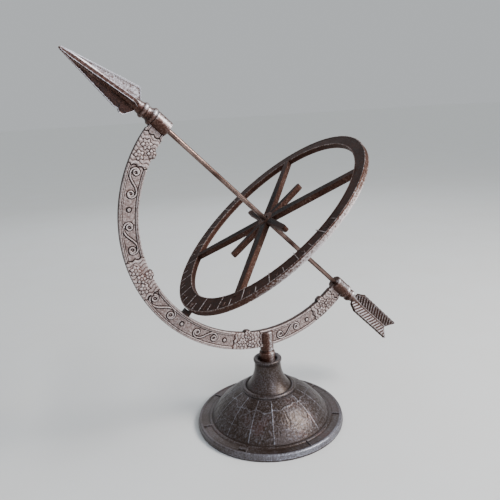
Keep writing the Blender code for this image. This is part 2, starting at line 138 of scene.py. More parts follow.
def noise(tree: bpy.types.NodeTree, place: bpy.types.NodeSocket, size_mm: float, detail: float,
          roughness: float = 0.5) -> bpy.types.NodeSocket:
    """Add a noise whose cells are that many mm across."""
    return add_node(tree, "ShaderNodeTexNoise", inputs={
        "Vector": place, "Scale": 1 / (size_mm * MM), "Detail": detail,
        "Roughness": roughness}).outputs["Fac"]


def remapped(tree: bpy.types.NodeTree, value: bpy.types.NodeSocket, source: tuple[float, float],
             target: tuple[float, float] = (0.0, 1.0)) -> bpy.types.NodeSocket:
    """Move a value from its source range to the target range, and hold it inside that."""
    return add_node(tree, "ShaderNodeMapRange", inputs={
        "Value": value, "From Min": source[0], "From Max": source[1], "To Min": target[0],
        "To Max": target[1]}).outputs[0]


def mixed(tree: bpy.types.NodeTree, share: bpy.types.NodeSocket, first: object,
          second: object) -> bpy.types.NodeSocket:
    """Mix two colours by a share, 0 for the first and 1 for the second."""
    return add_node(tree, "ShaderNodeMix", {"data_type": "RGBA"},
                    {0: share, 6: first, 7: second}).outputs[2]


def emboss(tree: bpy.types.NodeTree, shader: bpy.types.Node, height: bpy.types.NodeSocket,
           strength: float, depth_mm: float) -> None:
    """Bump a shader's surface by a height."""
    bump = add_node(tree, "ShaderNodeBump", inputs={
        "Height": height, "Strength": strength, "Distance": depth_mm * MM})
    tree.links.new(bump.outputs["Normal"], shader.inputs["Normal"])


def new_material(name: str) -> tuple[bpy.types.Material, bpy.types.Node, bpy.types.NodeSocket]:
    """Add a node material and return it with its shader and its object coordinates."""
    material = bpy.data.materials.new(name)
    material.use_nodes = True
    place = add_node(material.node_tree, "ShaderNodeTexCoord").outputs["Object"]
    return material, material.node_tree.nodes["Principled BSDF"], place


def joint_frame(name: str) -> tuple[Vector, Vector]:
    """A joint's position in mm and its unit axis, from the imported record."""
    for joint in frame["record"]["behaviour"]["joints"]:
        if joint["name"] == name:
            return Vector(joint["pos_m"]) / MM, Vector(joint["axis"]).normalized()
    raise KeyError(name)


def axis_matrix(origin: Vector, along: Vector) -> Matrix:
    """Frame with Z along an axis and X in the arc's plane, in mm.

    Args:
        origin: The frame's origin.
        along: Its Z direction.

    Returns:
        The 4x4 matrix.
    """
    across = Vector((0.0, 1.0, 0.0)).cross(along).normalized()
    turn = Matrix((across, along.cross(across), along)).transposed().to_4x4()
    return Matrix.Translation(origin) @ turn


def smooth_step(value: np.ndarray) -> np.ndarray:
    """Ease from 0 to 1 as value goes from 0 to 1."""
    t = np.clip(value, 0.0, 1.0)
    return t * t * (3 - 2 * t)


def stroke(distance: np.ndarray, half_width: float, soft: float) -> np.ndarray:
    """1 inside a stroke of that half width, easing to 0 over the soft border."""
    return 1 - smooth_step((distance - half_width) / soft)


def lattice_noise(x: np.ndarray, y: np.ndarray, seed: int) -> np.ndarray:
    """Smooth repeating noise from 0 to 1 on a unit lattice.

    Args:
        x: First coordinate, one unit per cell.
        y: Second coordinate.
        seed: Seed of the lattice's values.

    Returns:
        Noise of the same shape as x.
    """
    side = NOISE_CELLS
    table = np.random.default_rng(seed).random((side, side))
    column, row = np.floor(x).astype(int), np.floor(y).astype(int)
    fx, fy = smooth_step(x - column), smooth_step(y - row)
    near, far = column % side, (column + 1) % side
    low, high = row % side, (row + 1) % side
    bottom = table[near, low] * (1 - fx) + table[far, low] * fx
    top = table[near, high] * (1 - fx) + table[far, high] * fx
    return bottom * (1 - fy) + top * fy


def arc_points(centre: tuple[float, float], radius: float, start: float, end: float,
               steps: int) -> list[tuple[float, float]]:
    """Points on a circular stretch; angles in degrees."""
    angles = np.radians(np.linspace(start, end, steps + 1))
    return [(centre[0] + radius * math.cos(a), centre[1] + radius * math.sin(a)) for a in angles]


def refine(profile: list[tuple[float, float]], step: float) -> np.ndarray:
    """Split a profile's long stretches so that no piece is longer than step."""
    points = [np.array(profile[0], float)]
    for corner in profile[1:]:
        corner = np.array(corner, float)
        count = max(1, math.ceil(np.linalg.norm(corner - points[-1]) / step))
        start = points[-1]
        points += [start + (corner - start) * k / count for k in range(1, count + 1)]
    return np.array(points)


def curvature(mesh: bpy.types.Mesh, passes: int = 2) -> np.ndarray:
    """How far each vertex stands out (+) or in (-) of its neighbours, softened."""
    count = len(mesh.vertices)
    place, normal = np.empty(count * 3), np.empty(count * 3)
    mesh.vertices.foreach_get("co", place)
    mesh.vertex_normals.foreach_get("vector", normal)
    place, normal = place.reshape(-1, 3), normal.reshape(-1, 3)
    pair = np.empty(len(mesh.edges) * 2, dtype=np.int64)
    mesh.edges.foreach_get("vertices", pair)
    i, j = pair.reshape(-1, 2).T
    gap = place[j] - place[i]
    gap /= np.maximum(np.linalg.norm(gap, axis=1, keepdims=True), TINY)
    degree = np.maximum(np.bincount(i, minlength=count) + np.bincount(j, minlength=count), 1)
    out = np.bincount(i, -(gap * normal[i]).sum(1), count)
    out += np.bincount(j, (gap * normal[j]).sum(1), count)
    out /= degree
    for _ in range(passes):
        spread = np.bincount(i, out[j], count) + np.bincount(j, out[i], count)
        out = 0.5 * out + 0.5 * spread / degree
    return out


@dataclass
class Draft:
    """Vertices, faces and relief values gathered for one mesh, in mm.

    Points without a relief value of their own take the tone. A lathe's side that faces the
    lamps is drawn brighter by the highlight amount, a painted highlight.
    """

    vertices: list[np.ndarray] = field(default_factory=list)
    faces: list[list[int]] = field(default_factory=list)
    relief: list[np.ndarray] = field(default_factory=list)
    tone: float = 0.5
    painted_highlight: float = 0.0
    size: int = 0

    def add_vertices(self, points: np.ndarray, relief: Optional[np.ndarray] = None) -> int:
        """Add points and return the index of the first one."""
        first = self.size
        points = np.asarray(points, float).reshape(-1, 3)
        self.vertices.append(points)
        values = np.full(len(points), self.tone) if relief is None else np.ravel(relief)
        self.relief.append(values)
        self.size += len(points)
        return first

    def add_rings(self, rings: np.ndarray, closed: bool = False,
                  relief: Optional[np.ndarray] = None) -> None:
        """Bridge closed rings of points.

        Args:
            rings: Array of shape (rings, points, 3).
            closed: Whether the last ring joins the first; otherwise the ends are capped.
            relief: Relief value of each point.
        """
        count, size = rings.shape[:2]
        index = np.arange(count * size).reshape(count, size) + self.add_vertices(rings, relief)
        beside = np.roll(index, -1, axis=1)
        above, above_beside = np.roll(index, -1, axis=0), np.roll(beside, -1, axis=0)
        quads = np.stack([index, beside, above_beside, above], axis=-1)
        rows = count if closed else count - 1
        self.faces += quads[:rows].reshape(-1, 4).tolist()
        if closed:
            return
        for end in (0, count - 1):
            tone = None if relief is None else relief[end].mean(keepdims=True)
            centre = self.add_vertices(rings[end].mean(axis=0), tone)
            pairs = zip(index[end].tolist(), beside[end].tolist())
            self.faces += [[a, b, centre] for a, b in pairs]

    def add_lathe(self, profile: np.ndarray, segments: int, closed: bool = False,
                  place: Optional[Matrix] = None) -> None:
        """Turn (radius, height) points about Z, put them in place and paint a highlight on their
        lit side.
        """
        angles = np.linspace(0, 2 * math.pi, segments, endpoint=False)
        profile = np.asarray(profile, float)
        rings = np.empty((len(profile), segments, 3))
        rings[..., 0] = profile[:, :1] * np.cos(angles)
        rings[..., 1] = profile[:, :1] * np.sin(angles)
        rings[..., 2] = profile[:, 1:]
        rings = moved(rings, place)
        away = rings - rings.mean(axis=1, keepdims=True)
        away /= np.maximum(np.linalg.norm(away, axis=-1, keepdims=True), TINY)
        # painted highlight: each ring is drawn brighter on the side that faces the lamps
        highlit = np.clip(away @ PAINTED_HIGHLIGHT_SIDE, 0, 1) ** PAINTED_HIGHLIGHT_FOCUS
        self.add_rings(rings, closed, self.tone + self.painted_highlight * highlit)

    def add_bar(self, place: Matrix, size: tuple[float, float, float], taper: float,
                tone: float = 0.62) -> None:
        """Add a small bar, narrower at its top by the taper, as a raised stroke has."""
        x, y, z = (half / 2 for half in size)
        low = np.array([(-x, -y, -z), (x, -y, -z), (x, y, -z), (-x, y, -z)])
        high = np.array([(-x + taper, -y + taper, z), (x - taper, -y + taper, z),
                         (x - taper, y - taper, z), (-x + taper, y - taper, z)])
        self.add_rings(moved(np.stack([low, high]), place), relief=np.full((2, 4), tone))

    def build(self, name: str, material: bpy.types.Material, wear_and_shade: float = 0.0,
              sharp: float = 50.0) -> bpy.types.Object:
        """Make the object, in metres, at the origin.

        Args:
            name: The piece's name.
            material: Its finish.
            wear_and_shade: How strongly convex places are worn lighter and hollow ones darkened,
                the darkening a painted shade.
            sharp: Angle in degrees above which an edge stays sharp.

        Returns:
            The new object.
        """
        mesh = bpy.data.meshes.new(name)
        mesh.from_pydata((np.concatenate(self.vertices) * MM).tolist(), [], self.faces)
        attribute = mesh.attributes.new(RELIEF, "FLOAT", "POINT")
        attribute.data.foreach_set("value", np.concatenate(self.relief).astype(np.float32))
        return finish_mesh(name, mesh, material, wear_and_shade, sharp)


def moved(points: np.ndarray, place: Optional[Matrix]) -> np.ndarray:
    """Points of shape (..., 3) after a 4x4 matrix."""
    if place is None:
        return points
    turn = np.array(place)
    return points @ turn[:3, :3].T + turn[:3, 3]


def finish_mesh(name: str, mesh: bpy.types.Mesh, material: bpy.types.Material, wear_and_shade: float,
                sharp: float) -> bpy.types.Object:
    """Merge doubles, turn faces outwards, lighten worn edges, paint shade into hollows and link
    the object.
    """
    bm = bmesh.new()
    bm.from_mesh(mesh)
    bmesh.ops.remove_doubles(bm, verts=bm.verts, dist=MERGE_MM * MM)
    bmesh.ops.recalc_face_normals(bm, faces=bm.faces)
    bm.to_mesh(mesh)
    bm.free()
    mesh.shade_smooth()
    mesh.set_sharp_from_angle(angle=math.radians(sharp))
    if wear_and_shade:
        attribute = mesh.attributes[RELIEF]
        value = np.empty(len(mesh.vertices), dtype=np.float32)
        attribute.data.foreach_get("value", value)
        # convex places lighter as wear, hollows darker as painted shade
        value = np.clip(value + wear_and_shade * curvature(mesh), 0, 1).astype(np.float32)
        attribute.data.foreach_set("value", value)
    mesh.materials.clear()
    mesh.materials.append(material)
    piece = bpy.data.objects.new(name, mesh)
    bpy.context.collection.objects.link(piece)
    return piece


def applied(piece: bpy.types.Object) -> bpy.types.Mesh:
    """The piece's mesh with its modifiers applied."""
    bpy.context.view_layer.update()
    graph = bpy.context.evaluated_depsgraph_get()
    return bpy.data.meshes.new_from_object(piece.evaluated_get(graph))


def cut(piece: bpy.types.Object, tool: Draft) -> None:
    """Cut a closed tool out of a piece."""
    cutter = tool.build("cutter", piece.data.materials[0])
    modifier = piece.modifiers.new("cut", "BOOLEAN")
    modifier.operation = "DIFFERENCE"
    modifier.solver = "EXACT"
    modifier.object = cutter
    result = applied(piece)
    piece.modifiers.remove(modifier)
    piece.data = result
    bpy.data.objects.remove(cutter, do_unlink=True)


def bevelled(piece: bpy.types.Object, width: float, segments: int = 2) -> None:
    """Round a piece's sharp edges by that width in mm."""
    modifier = piece.modifiers.new("edges", "BEVEL")
    modifier.width = width * MM
    modifier.segments = segments
    modifier.limit_method = "ANGLE"
    modifier.angle_limit = math.radians(40)
    modifier.harden_normals = False
    result = applied(piece)
    piece.modifiers.remove(modifier)
    piece.data = result


def declare(piece: bpy.types.Object, body: Body, slot: Slot, *nodes: str) -> None:
    """Say what a piece rides on and which CAD nodes it stands for."""
    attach(piece, body.value)
    if nodes:
        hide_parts(*nodes)
    LOG.info("%s: %d faces on %s", piece.name, len(piece.data.polygons), body.value)


# ---------------------------------------------------------------- finishes


@dataclass(frozen=True)
class CastIron:
    """Sand-cast grey iron, brown lacquered: dark in the recesses, partly painted shade, worn grey
    on the relief.
    """

    name: str
    recess: str
    body: str
    sheen: str
    worn: str
    roughness: tuple[float, float] = (0.38, 0.72)
    metallic: float = 0.45
    grain_mm: float = 1.5           # sand grain, drawn about four times as coarse to show
    blotch_mm: float = 26.0         # where the lacquer is thin
    patchiness: float = 0.34        # how far the blotches move the tone
    speckle: float = 0.90           # how far the grain moves it
    bump_mm: float = 0.10
    coat: float = 0.10
    specular: float = 0.30
    rust: str = "3f1d12"

    def material(self) -> bpy.types.Material:
        """Build the node material."""
        material, shader, place = new_material(self.name)
        tree = material.node_tree
        relief = add_node(tree, "ShaderNodeAttribute", {"attribute_name": RELIEF}).outputs["Fac"]
        blotch = noise(tree, place, self.blotch_mm, 4.0, 0.6)
        grain = noise(tree, place, self.grain_mm, 3.0, 0.65)
        pits = add_node(tree, "ShaderNodeTexVoronoi", {"feature": "SMOOTH_F1"}, {
            "Vector": place, "Scale": 1 / (1.6 * self.grain_mm * MM),
            "Smoothness": 0.5}).outputs["Distance"]
        patch = arithmetic(tree, "MULTIPLY_ADD", blotch, self.patchiness, -self.patchiness / 2)
        speck = arithmetic(tree, "MULTIPLY_ADD", grain, self.speckle, -self.speckle / 2)
        level = arithmetic(tree, "ADD", relief, patch)
        level = arithmetic(tree, "ADD", level, speck, clamp=True)
        ramp = add_node(tree, "ShaderNodeValToRGB", inputs={0: level})
        stops = ramp.color_ramp.elements
        stops[0].position, stops[1].position = TONE_STOPS[0], TONE_STOPS[-1]
        for position in TONE_STOPS[1:-1]:
            stops.new(position)
        for stop, colour in zip(stops, (self.recess, self.body, self.sheen, self.worn)):
            stop.color = linear(colour)
        rusted = remapped(tree, blotch, (0.56, 0.72), (0.0, 0.55))
        colour = mixed(tree, rusted, ramp.outputs["Color"], linear(self.rust))
        tree.links.new(colour, shader.inputs["Base Color"])
        gloss = remapped(tree, grain, (0.3, 0.7), self.roughness)
        tree.links.new(gloss, shader.inputs["Roughness"])
        emboss(tree, shader, arithmetic(tree, "ADD", grain, pits), 0.55, self.bump_mm)
        shader.inputs["Metallic"].default_value = self.metallic
        shader.inputs["Specular IOR Level"].default_value = self.specular
        shader.inputs["Coat Weight"].default_value = self.coat
        shader.inputs["Coat Roughness"].default_value = 0.35
        return material


@dataclass(frozen=True)
class DrawnSteel:
    """Cold-drawn round bar: fine draw lines along it, under a thin lacquer or zinc plate."""

    name: str
    light: str
    dark: str
    roughness: tuple[float, float]
    streak_mm: float = 0.9
    stain_mm: float = 22.0
    metallic: float = 0.95
    along: tuple[float, float, float] = (-1.0, 0.0, 1.0)

    def material(self) -> bpy.types.Material:
        """Build the node material."""
        material, shader, place = new_material(self.name)
        tree = material.node_tree
        turn = Vector(self.along).to_track_quat("Z", "Y").inverted().to_euler()
        aligned = add_node(tree, "ShaderNodeMapping", {"vector_type": "POINT"}, {
            "Vector": place, "Rotation": turn}).outputs[0]
        squeezed = add_node(tree, "ShaderNodeMapping", inputs={
            "Vector": aligned, "Scale": (1.0, 1.0, 0.05)}).outputs[0]
        streaks = noise(tree, squeezed, self.streak_mm, 3.0)
        stains = noise(tree, place, self.stain_mm, 4.0)
        level = remapped(tree, arithmetic(tree, "MULTIPLY", streaks, stains), (0.14, 0.36))
        colour = mixed(tree, level, linear(self.dark), linear(self.light))
        tree.links.new(colour, shader.inputs["Base Color"])
        gloss = remapped(tree, streaks, (0.0, 1.0), self.roughness)
        tree.links.new(gloss, shader.inputs["Roughness"])
        emboss(tree, shader, streaks, 0.25, 0.05)
        shader.inputs["Metallic"].default_value = self.metallic
        return material


FOOT_IRON = CastIron("brown_lacquered_cast_iron", recess="0f0a08", body="33261f",
                     sheen="625f64", worn="abb1bf", roughness=(0.28, 0.58), metallic=0.60,
                     coat=0.25, speckle=0.62)
ARC_IRON = CastIron("rubbed_relief_cast_iron", recess="130b08", body="4b3833", sheen="83736f",
                    worn="c3bab8", roughness=(0.46, 0.74), metallic=0.35, rust="5a382e")
DIAL_IRON = CastIron("dark_lacquered_cast_iron", recess="0c0604", body="331d15",
                     sheen="553e35", worn="c4bdbd", roughness=(0.52, 0.84), metallic=0.60,
                     coat=0.0, specular=0.12)
ARROW_IRON = CastIron("brown_lacquered_casting", recess="160b07", body="43271c",
                      sheen="6f5e59", worn="cfcdd2", roughness=(0.28, 0.60), metallic=0.6,
                      rust="40221a")
ROD_STEEL = DrawnSteel("brown_lacquered_drawn_steel", light="8c766e", dark="3b2822",
                       roughness=(0.22, 0.42))
ZINC_STEEL = DrawnSteel("zinc_plated_steel", light="c9cac6", dark="8f918f",
                        roughness=(0.28, 0.45), along=(0.0, 0.0, 1.0))


# ---------------------------------------------------------------- rows of repeated motifs


@dataclass
class CircleRow:
    """Equal motifs set round a circle about Z by Geometry Nodes, in mm."""

    name: str
    motif: Motif
    count: int
    radius: float
    start: float                    # degrees
    step: float                     # degrees
    size: tuple[float, float, float]
    lift: float = 0.0
    jitter: float = 0.06
    seed: int = 7

    def inputs(self) -> dict[str, tuple[str, object]]:
        """Named inputs of the tree, each with its socket type and value."""
        return {
            "Count": ("NodeSocketInt", self.count),
            "Radius": ("NodeSocketFloat", self.radius * MM),
            "Start": ("NodeSocketFloat", math.radians(self.start)),
            "Step": ("NodeSocketFloat", math.radians(self.step)),
            "Lift": ("NodeSocketFloat", self.lift * MM),
            "Size": ("NodeSocketVector", tuple(side * MM for side in self.size)),
            "Jitter": ("NodeSocketFloat", self.jitter),
            "Seed": ("NodeSocketInt", self.seed),
        }

    def tree(self, material: bpy.types.Material) -> tuple[bpy.types.NodeTree, dict[str, str]]:
        """Build the Geometry Nodes tree.

        Args:
            material: The finish that Set Material gives.

        Returns:
            The tree and the identifier of each named input.
        """
        tree = bpy.data.node_groups.new(self.name, "GeometryNodeTree")
        keys = {}
        for name, (kind, _) in self.inputs().items():
            socket = tree.interface.new_socket(name=name, in_out="INPUT", socket_type=kind)
            keys[name] = socket.identifier
        tree.interface.new_socket(name="Geometry", in_out="OUTPUT",
                                  socket_type="NodeSocketGeometry")
        given = add_node(tree, "NodeGroupInput").outputs
        index = add_node(tree, "GeometryNodeInputIndex").outputs[0]
        angle = arithmetic(tree, "MULTIPLY_ADD", index, given["Step"], given["Start"])
        parts = [arithmetic(tree, "MULTIPLY", arithmetic(tree, operation, angle), given["Radius"])
                 for operation in ("COSINE", "SINE")]
        place = add_node(tree, "ShaderNodeCombineXYZ", inputs={
            "X": parts[0], "Y": parts[1], "Z": given["Lift"]}).outputs[0]
        points = add_node(tree, "GeometryNodePoints", inputs={
            "Count": given["Count"], "Position": place}).outputs[0]
        if self.motif is Motif.BEAD:
            settings = {"Segments": 8, "Rings": 6, "Radius": 0.5}
        else:
            settings = {"Size": (1.0, 1.0, 1.0)}
        motif = add_node(tree, self.motif.value, inputs=settings).outputs["Mesh"]
        turn = add_node(tree, "ShaderNodeCombineXYZ", inputs={"Z": angle}).outputs[0]
        low = arithmetic(tree, "SUBTRACT", 1.0, given["Jitter"])
        random = add_node(tree, "FunctionNodeRandomValue", {"data_type": "FLOAT"},
                          {2: low, 3: 1.0, "Seed": given["Seed"]}).outputs[1]
        scale = add_node(tree, "ShaderNodeVectorMath", {"operation": "SCALE"},
                         {0: given["Size"], "Scale": random}).outputs[0]
        placed = add_node(tree, "GeometryNodeInstanceOnPoints", inputs={
            "Points": points, "Instance": motif, "Rotation": turn, "Scale": scale}).outputs[0]
        real = add_node(tree, "GeometryNodeRealizeInstances", inputs={0: placed}).outputs[0]
        dressed = add_node(tree, "GeometryNodeSetMaterial", inputs={
            "Geometry": real, "Material": material}).outputs[0]
        add_node(tree, "NodeGroupOutput", inputs={0: dressed})
        return tree, keys

    def mesh(self, material: bpy.types.Material, place: Matrix) -> bpy.types.Mesh:
        """Evaluate the row as a plain mesh in its place."""
        carrier = bpy.data.objects.new(self.name, bpy.data.meshes.new(self.name))
        bpy.context.collection.objects.link(carrier)
        modifier = carrier.modifiers.new("row", "NODES")
        tree, keys = self.tree(material)
        modifier.node_group = tree
        for name, (_, value) in self.inputs().items():
            modifier[keys[name]] = value
        mesh = applied(carrier)
        bpy.data.objects.remove(carrier, do_unlink=True)
        turned = place.copy()
        turned.translation = place.translation * MM
        mesh.transform(turned)
        return mesh


def build_rows(name: str, rows: list[tuple[CircleRow, Matrix]], material: bpy.types.Material,
               tone: float = 0.72, bevel: float = 0.0) -> bpy.types.Object:
    """Gather rows into one piece.

    Args:
        name: The piece's name.
        rows: Each row with its place.
        material: The finish.
        tone: Relief value of the whole row.
        bevel: Width in mm by which hard edges are rounded.

    Returns:
        The new object.
    """
    bm = bmesh.new()
    for row, place in rows:
        part = row.mesh(material, place)
        bm.from_mesh(part)
        bpy.data.meshes.remove(part)
    mesh = bpy.data.meshes.new(name)
    bm.to_mesh(mesh)
    bm.free()
    attribute = mesh.attributes.new(RELIEF, "FLOAT", "POINT")
    attribute.data.foreach_set("value", np.full(len(mesh.vertices), tone, dtype=np.float32))
    piece = finish_mesh(name, mesh, material, 0.0, 50.0)
    if bevel:
        bevelled(piece, bevel)
    return piece


# ---------------------------------------------------------------- the foot


@dataclass
class Foot:
    """The foot casting: flange, dome with map lines, neck and cup, open underneath."""

    flange_radius: float = 80.0
    flange_height: float = 7.5
    dome_foot: float = 64.5
    dome_top: float = 29.5
    dome_top_height: float = 38.0
    wall: float = 4.5
    cup_bore: float = 9.8
    cup_floor: float = 69.0
    spigot_bore: float = 5.3
    bolt_bore: float = 3.3
    web: tuple[float, float] = (48.0, 54.0)         # heights of the web's faces
    ring_bore: float = 61.5         # of the ring that the foot stands on
    segments: int = 560
    facing: float = -119.2          # azimuth in degrees of the side that the dial's owner sees
    line_spacing: float = 24.0      # degrees of longitude between lines
    line_offset: float = 5.0
    worn_line: float = 24.0         # degrees from the offset to the line that is nearly gone
    coast_level: float = 34.5       # mm up the dome's side
    painted_highlight_azimuth: float = -88.0      # azimuth of the painted highlight on the flange's rim
    line_height: float = 0.26
    divider_count: int = 7
    divider_radius: float = 71.4
    divider_start: float = -69.0    # degrees from the facing side
    divider_size: tuple[float, float, float] = (9.4, 1.7, 1.1)
    divider_lift: float = 6.9
    tablet_size: tuple[float, float, float] = (4.4, 8.8, 1.0)
    tablet_share: float = 0.93      # how far it is from one divider to the next

    def dome_arc(self) -> tuple[float, float, float, float]:
        """Height of the dome's centre, its radius, and its foot and top angles in degrees."""
        rise = self.dome_top_height - self.flange_height
        spread = self.dome_foot ** 2 - self.dome_top ** 2
        centre = self.flange_height + (rise ** 2 - spread) / (2 * rise)
        radius = math.hypot(self.dome_foot, self.flange_height - centre)
        foot = math.degrees(math.asin((self.flange_height - centre) / radius))
        top = math.degrees(math.asin((self.dome_top_height - centre) / radius))
        return centre, radius, foot, top

    def profile(self) -> tuple[np.ndarray, np.ndarray]:
        """The casting's section.

        Returns:
            (radius, height) points in order, and for each the share of dome relief it takes.
        """
        centre, radius, foot, top = self.dome_arc()
        edge, height = self.flange_radius, self.flange_height
        rim = [(edge - 0.8, 0.0), (edge - 0.2, 0.3)]
        rim += arc_points((edge - 1.6, 1.8), 1.6, -30, 40, 5)
        rim += [(edge - 0.6, 3.5), (edge - 0.8, 4.8)]
        rim += arc_points((edge - 2.6, 5.4), 1.7, 0, 90, 7)
        rim += [(edge - 3.8, 6.9), (edge - 4.6, 6.4), (68.2, 6.5), (67.2, 7.2), (66.2, 7.6)]
        rim += [(65.4, height + 0.1)]
        lower = refine(rim, 1.2)
        dome = np.array(arc_points((0, centre), radius, foot, top, 62))
        bead = arc_points((26.8, self.dome_top_height + 0.9), 2.6, -35, 150, 16)
        neck = [(14.2 + 9.6 * (1 - t) ** 2.4, 41.2 + 26.8 * t) for t in np.linspace(0, 1, 22)]
        lip = [(14.7, 68.9), (15.1, 69.8)] + arc_points((13.7, 71.3), 1.65, -20, 95, 8)
        lip += [(12.6, 72.8), (10.9, 72.3), (10.0, 71.3)]
        lip += [(self.cup_bore, 70.2), (self.cup_bore, self.cup_floor)]
        under, over = self.web
        inside = [(self.spigot_bore, self.cup_floor), (self.spigot_bore, over)]
        inside += [(self.bolt_bore, over), (self.bolt_bore, under), (9.5, under)]
        inside += [(11.5, 42.0), (17.0, 36.0)]
        inside += arc_points((0, centre), radius - self.wall, 62, foot - 4, 12)
        inside += [(self.ring_bore, 0.0)]
        rest = np.concatenate([np.array(bead + neck + lip), np.array(inside)])
        points = np.concatenate([lower, dome, rest])
        share = np.zeros(len(points))
        fade = np.minimum(np.arange(len(dome)), np.arange(len(dome))[::-1]) / 3.0
        share[len(lower):len(lower) + len(dome)] = smooth_step(fade)
        return points, share

    def map_height(self, azimuth: np.ndarray,
                   along: np.ndarray) -> tuple[np.ndarray, np.ndarray]:
        """Relief of the dome: raised longitude lines and coasts on a beaten ground.

        Args:
            azimuth: Degrees round the foot.
            along: Distance in mm up the dome's side.

        Returns:
            Height in mm, and where the raised lines are.
        """
        _, radius, foot, _ = self.dome_arc()
        round_radius = radius * np.cos(np.radians(foot) + along / radius)
        turn = azimuth - self.facing - self.line_offset
        off = np.abs((turn + self.line_spacing / 2) % self.line_spacing - self.line_spacing / 2)
        faint = np.abs((turn - self.worn_line + 180) % 360 - 180) < self.line_spacing / 2
        lines = stroke(np.radians(off) * round_radius, 0.12, 0.42) * np.where(faint, 0.2, 1.0)
        wander = 7.0 * (lattice_noise(azimuth / 11.25, 0 * azimuth, 7) - 0.5)
        wander += 2.0 * (lattice_noise(azimuth / 4.5, 0 * azimuth, 9) - 0.5)
        shore = np.abs(along - self.coast_level - wander)
        lines = np.maximum(lines, 0.8 * stroke(shore, 0.15, 0.5))
        lines = np.maximum(lines, 0.3 * stroke(np.abs(along - 14.0), 0.12, 0.5))
        shape = lattice_noise(azimuth / 15.0 + 3.0, along / 10.0 + 1.0, 11)
        shape += 0.4 * lattice_noise(azimuth / 5.0, along / 4.0, 5)
        crack = stroke(np.abs(shape - 0.72) * 12.0, 0.15, 0.5)
        beaten = lattice_noise(azimuth / 1.8, along / 2.0, 31)
        fine = lattice_noise(azimuth / 0.9 + 0.3, along / 1.0, 37)
        height = self.line_height * lines - 0.16 * crack * (1 - lines)
        return height + 0.20 * (beaten - 0.5) + 0.16 * (fine - 0.5), lines

    def casting(self) -> bpy.types.Object:
        """The foot itself, one closed casting."""
        points, share = self.profile()
        tangent = np.roll(points, -1, axis=0) - np.roll(points, 1, axis=0)
        tangent /= np.maximum(np.linalg.norm(tangent, axis=1, keepdims=True), TINY)
        normal = np.stack([tangent[:, 1], -tangent[:, 0]], axis=1)
        step = np.linalg.norm(np.diff(points, axis=0, prepend=points[:1]), axis=1)
        along = np.cumsum(step)
        along -= along[np.argmax(share > 0) - 1]
        azimuth = np.linspace(0, 360, self.segments, endpoint=False)
        grid_azimuth, grid_along = np.meshgrid(azimuth, along)
        height, lines = self.map_height(grid_azimuth, grid_along)
        height = height * share[:, None]
        radial = points[:, :1] + normal[:, :1] * height
        rise = points[:, 1:] + normal[:, 1:] * height
        turn = np.radians(grid_azimuth)
        rings = np.stack([radial * np.cos(turn), radial * np.sin(turn), rise], axis=-1)
        rim = (points[:, :1] > self.flange_radius - 4.5) & (points[:, 1:] > 2.0)
        # painted highlight: the flange's rim is drawn brighter towards one azimuth, and slightly
        # brighter all round
        highlit = np.clip(np.cos(turn - math.radians(self.painted_highlight_azimuth)), 0, 1) ** 2
        relief = 0.45 + 0.5 * height + 0.12 * lines * share[:, None]
        relief += (0.04 + 0.20 * highlit) * rim
        draft = Draft()
        draft.add_rings(rings, closed=True, relief=relief)
        return draft.build("foot_casting", FOOT_IRON.material(), wear_and_shade=0.5, sharp=60)

    def fittings(self, material: bpy.types.Material) -> bpy.types.Object:
        """Raised dividers on the flange, with a small tablet beside one of them."""
        step = 360 / self.divider_count
        first, radius = self.facing + self.divider_start, self.divider_radius
        dividers = CircleRow("flange_dividers", Motif.BAR, self.divider_count, radius, first, step,
                             self.divider_size, lift=self.divider_lift)
        tablets = CircleRow("flange_tablets", Motif.BAR, 1, radius,
                            first + step * self.tablet_share, step, self.tablet_size,
                            lift=self.divider_lift)
        rows = [(dividers, Matrix.Identity(4)), (tablets, Matrix.Identity(4))]
        return build_rows("flange_dividers", rows, material, tone=0.50, bevel=0.4)

    def build(self) -> None:
        casting = self.casting()
        declare(casting, Body.FOOT, Slot.FOOT_IRON, "base")
        declare(self.fittings(casting.data.materials[0]), Body.FOOT, Slot.FOOT_IRON)


# ---------------------------------------------------------------- the meridian arc


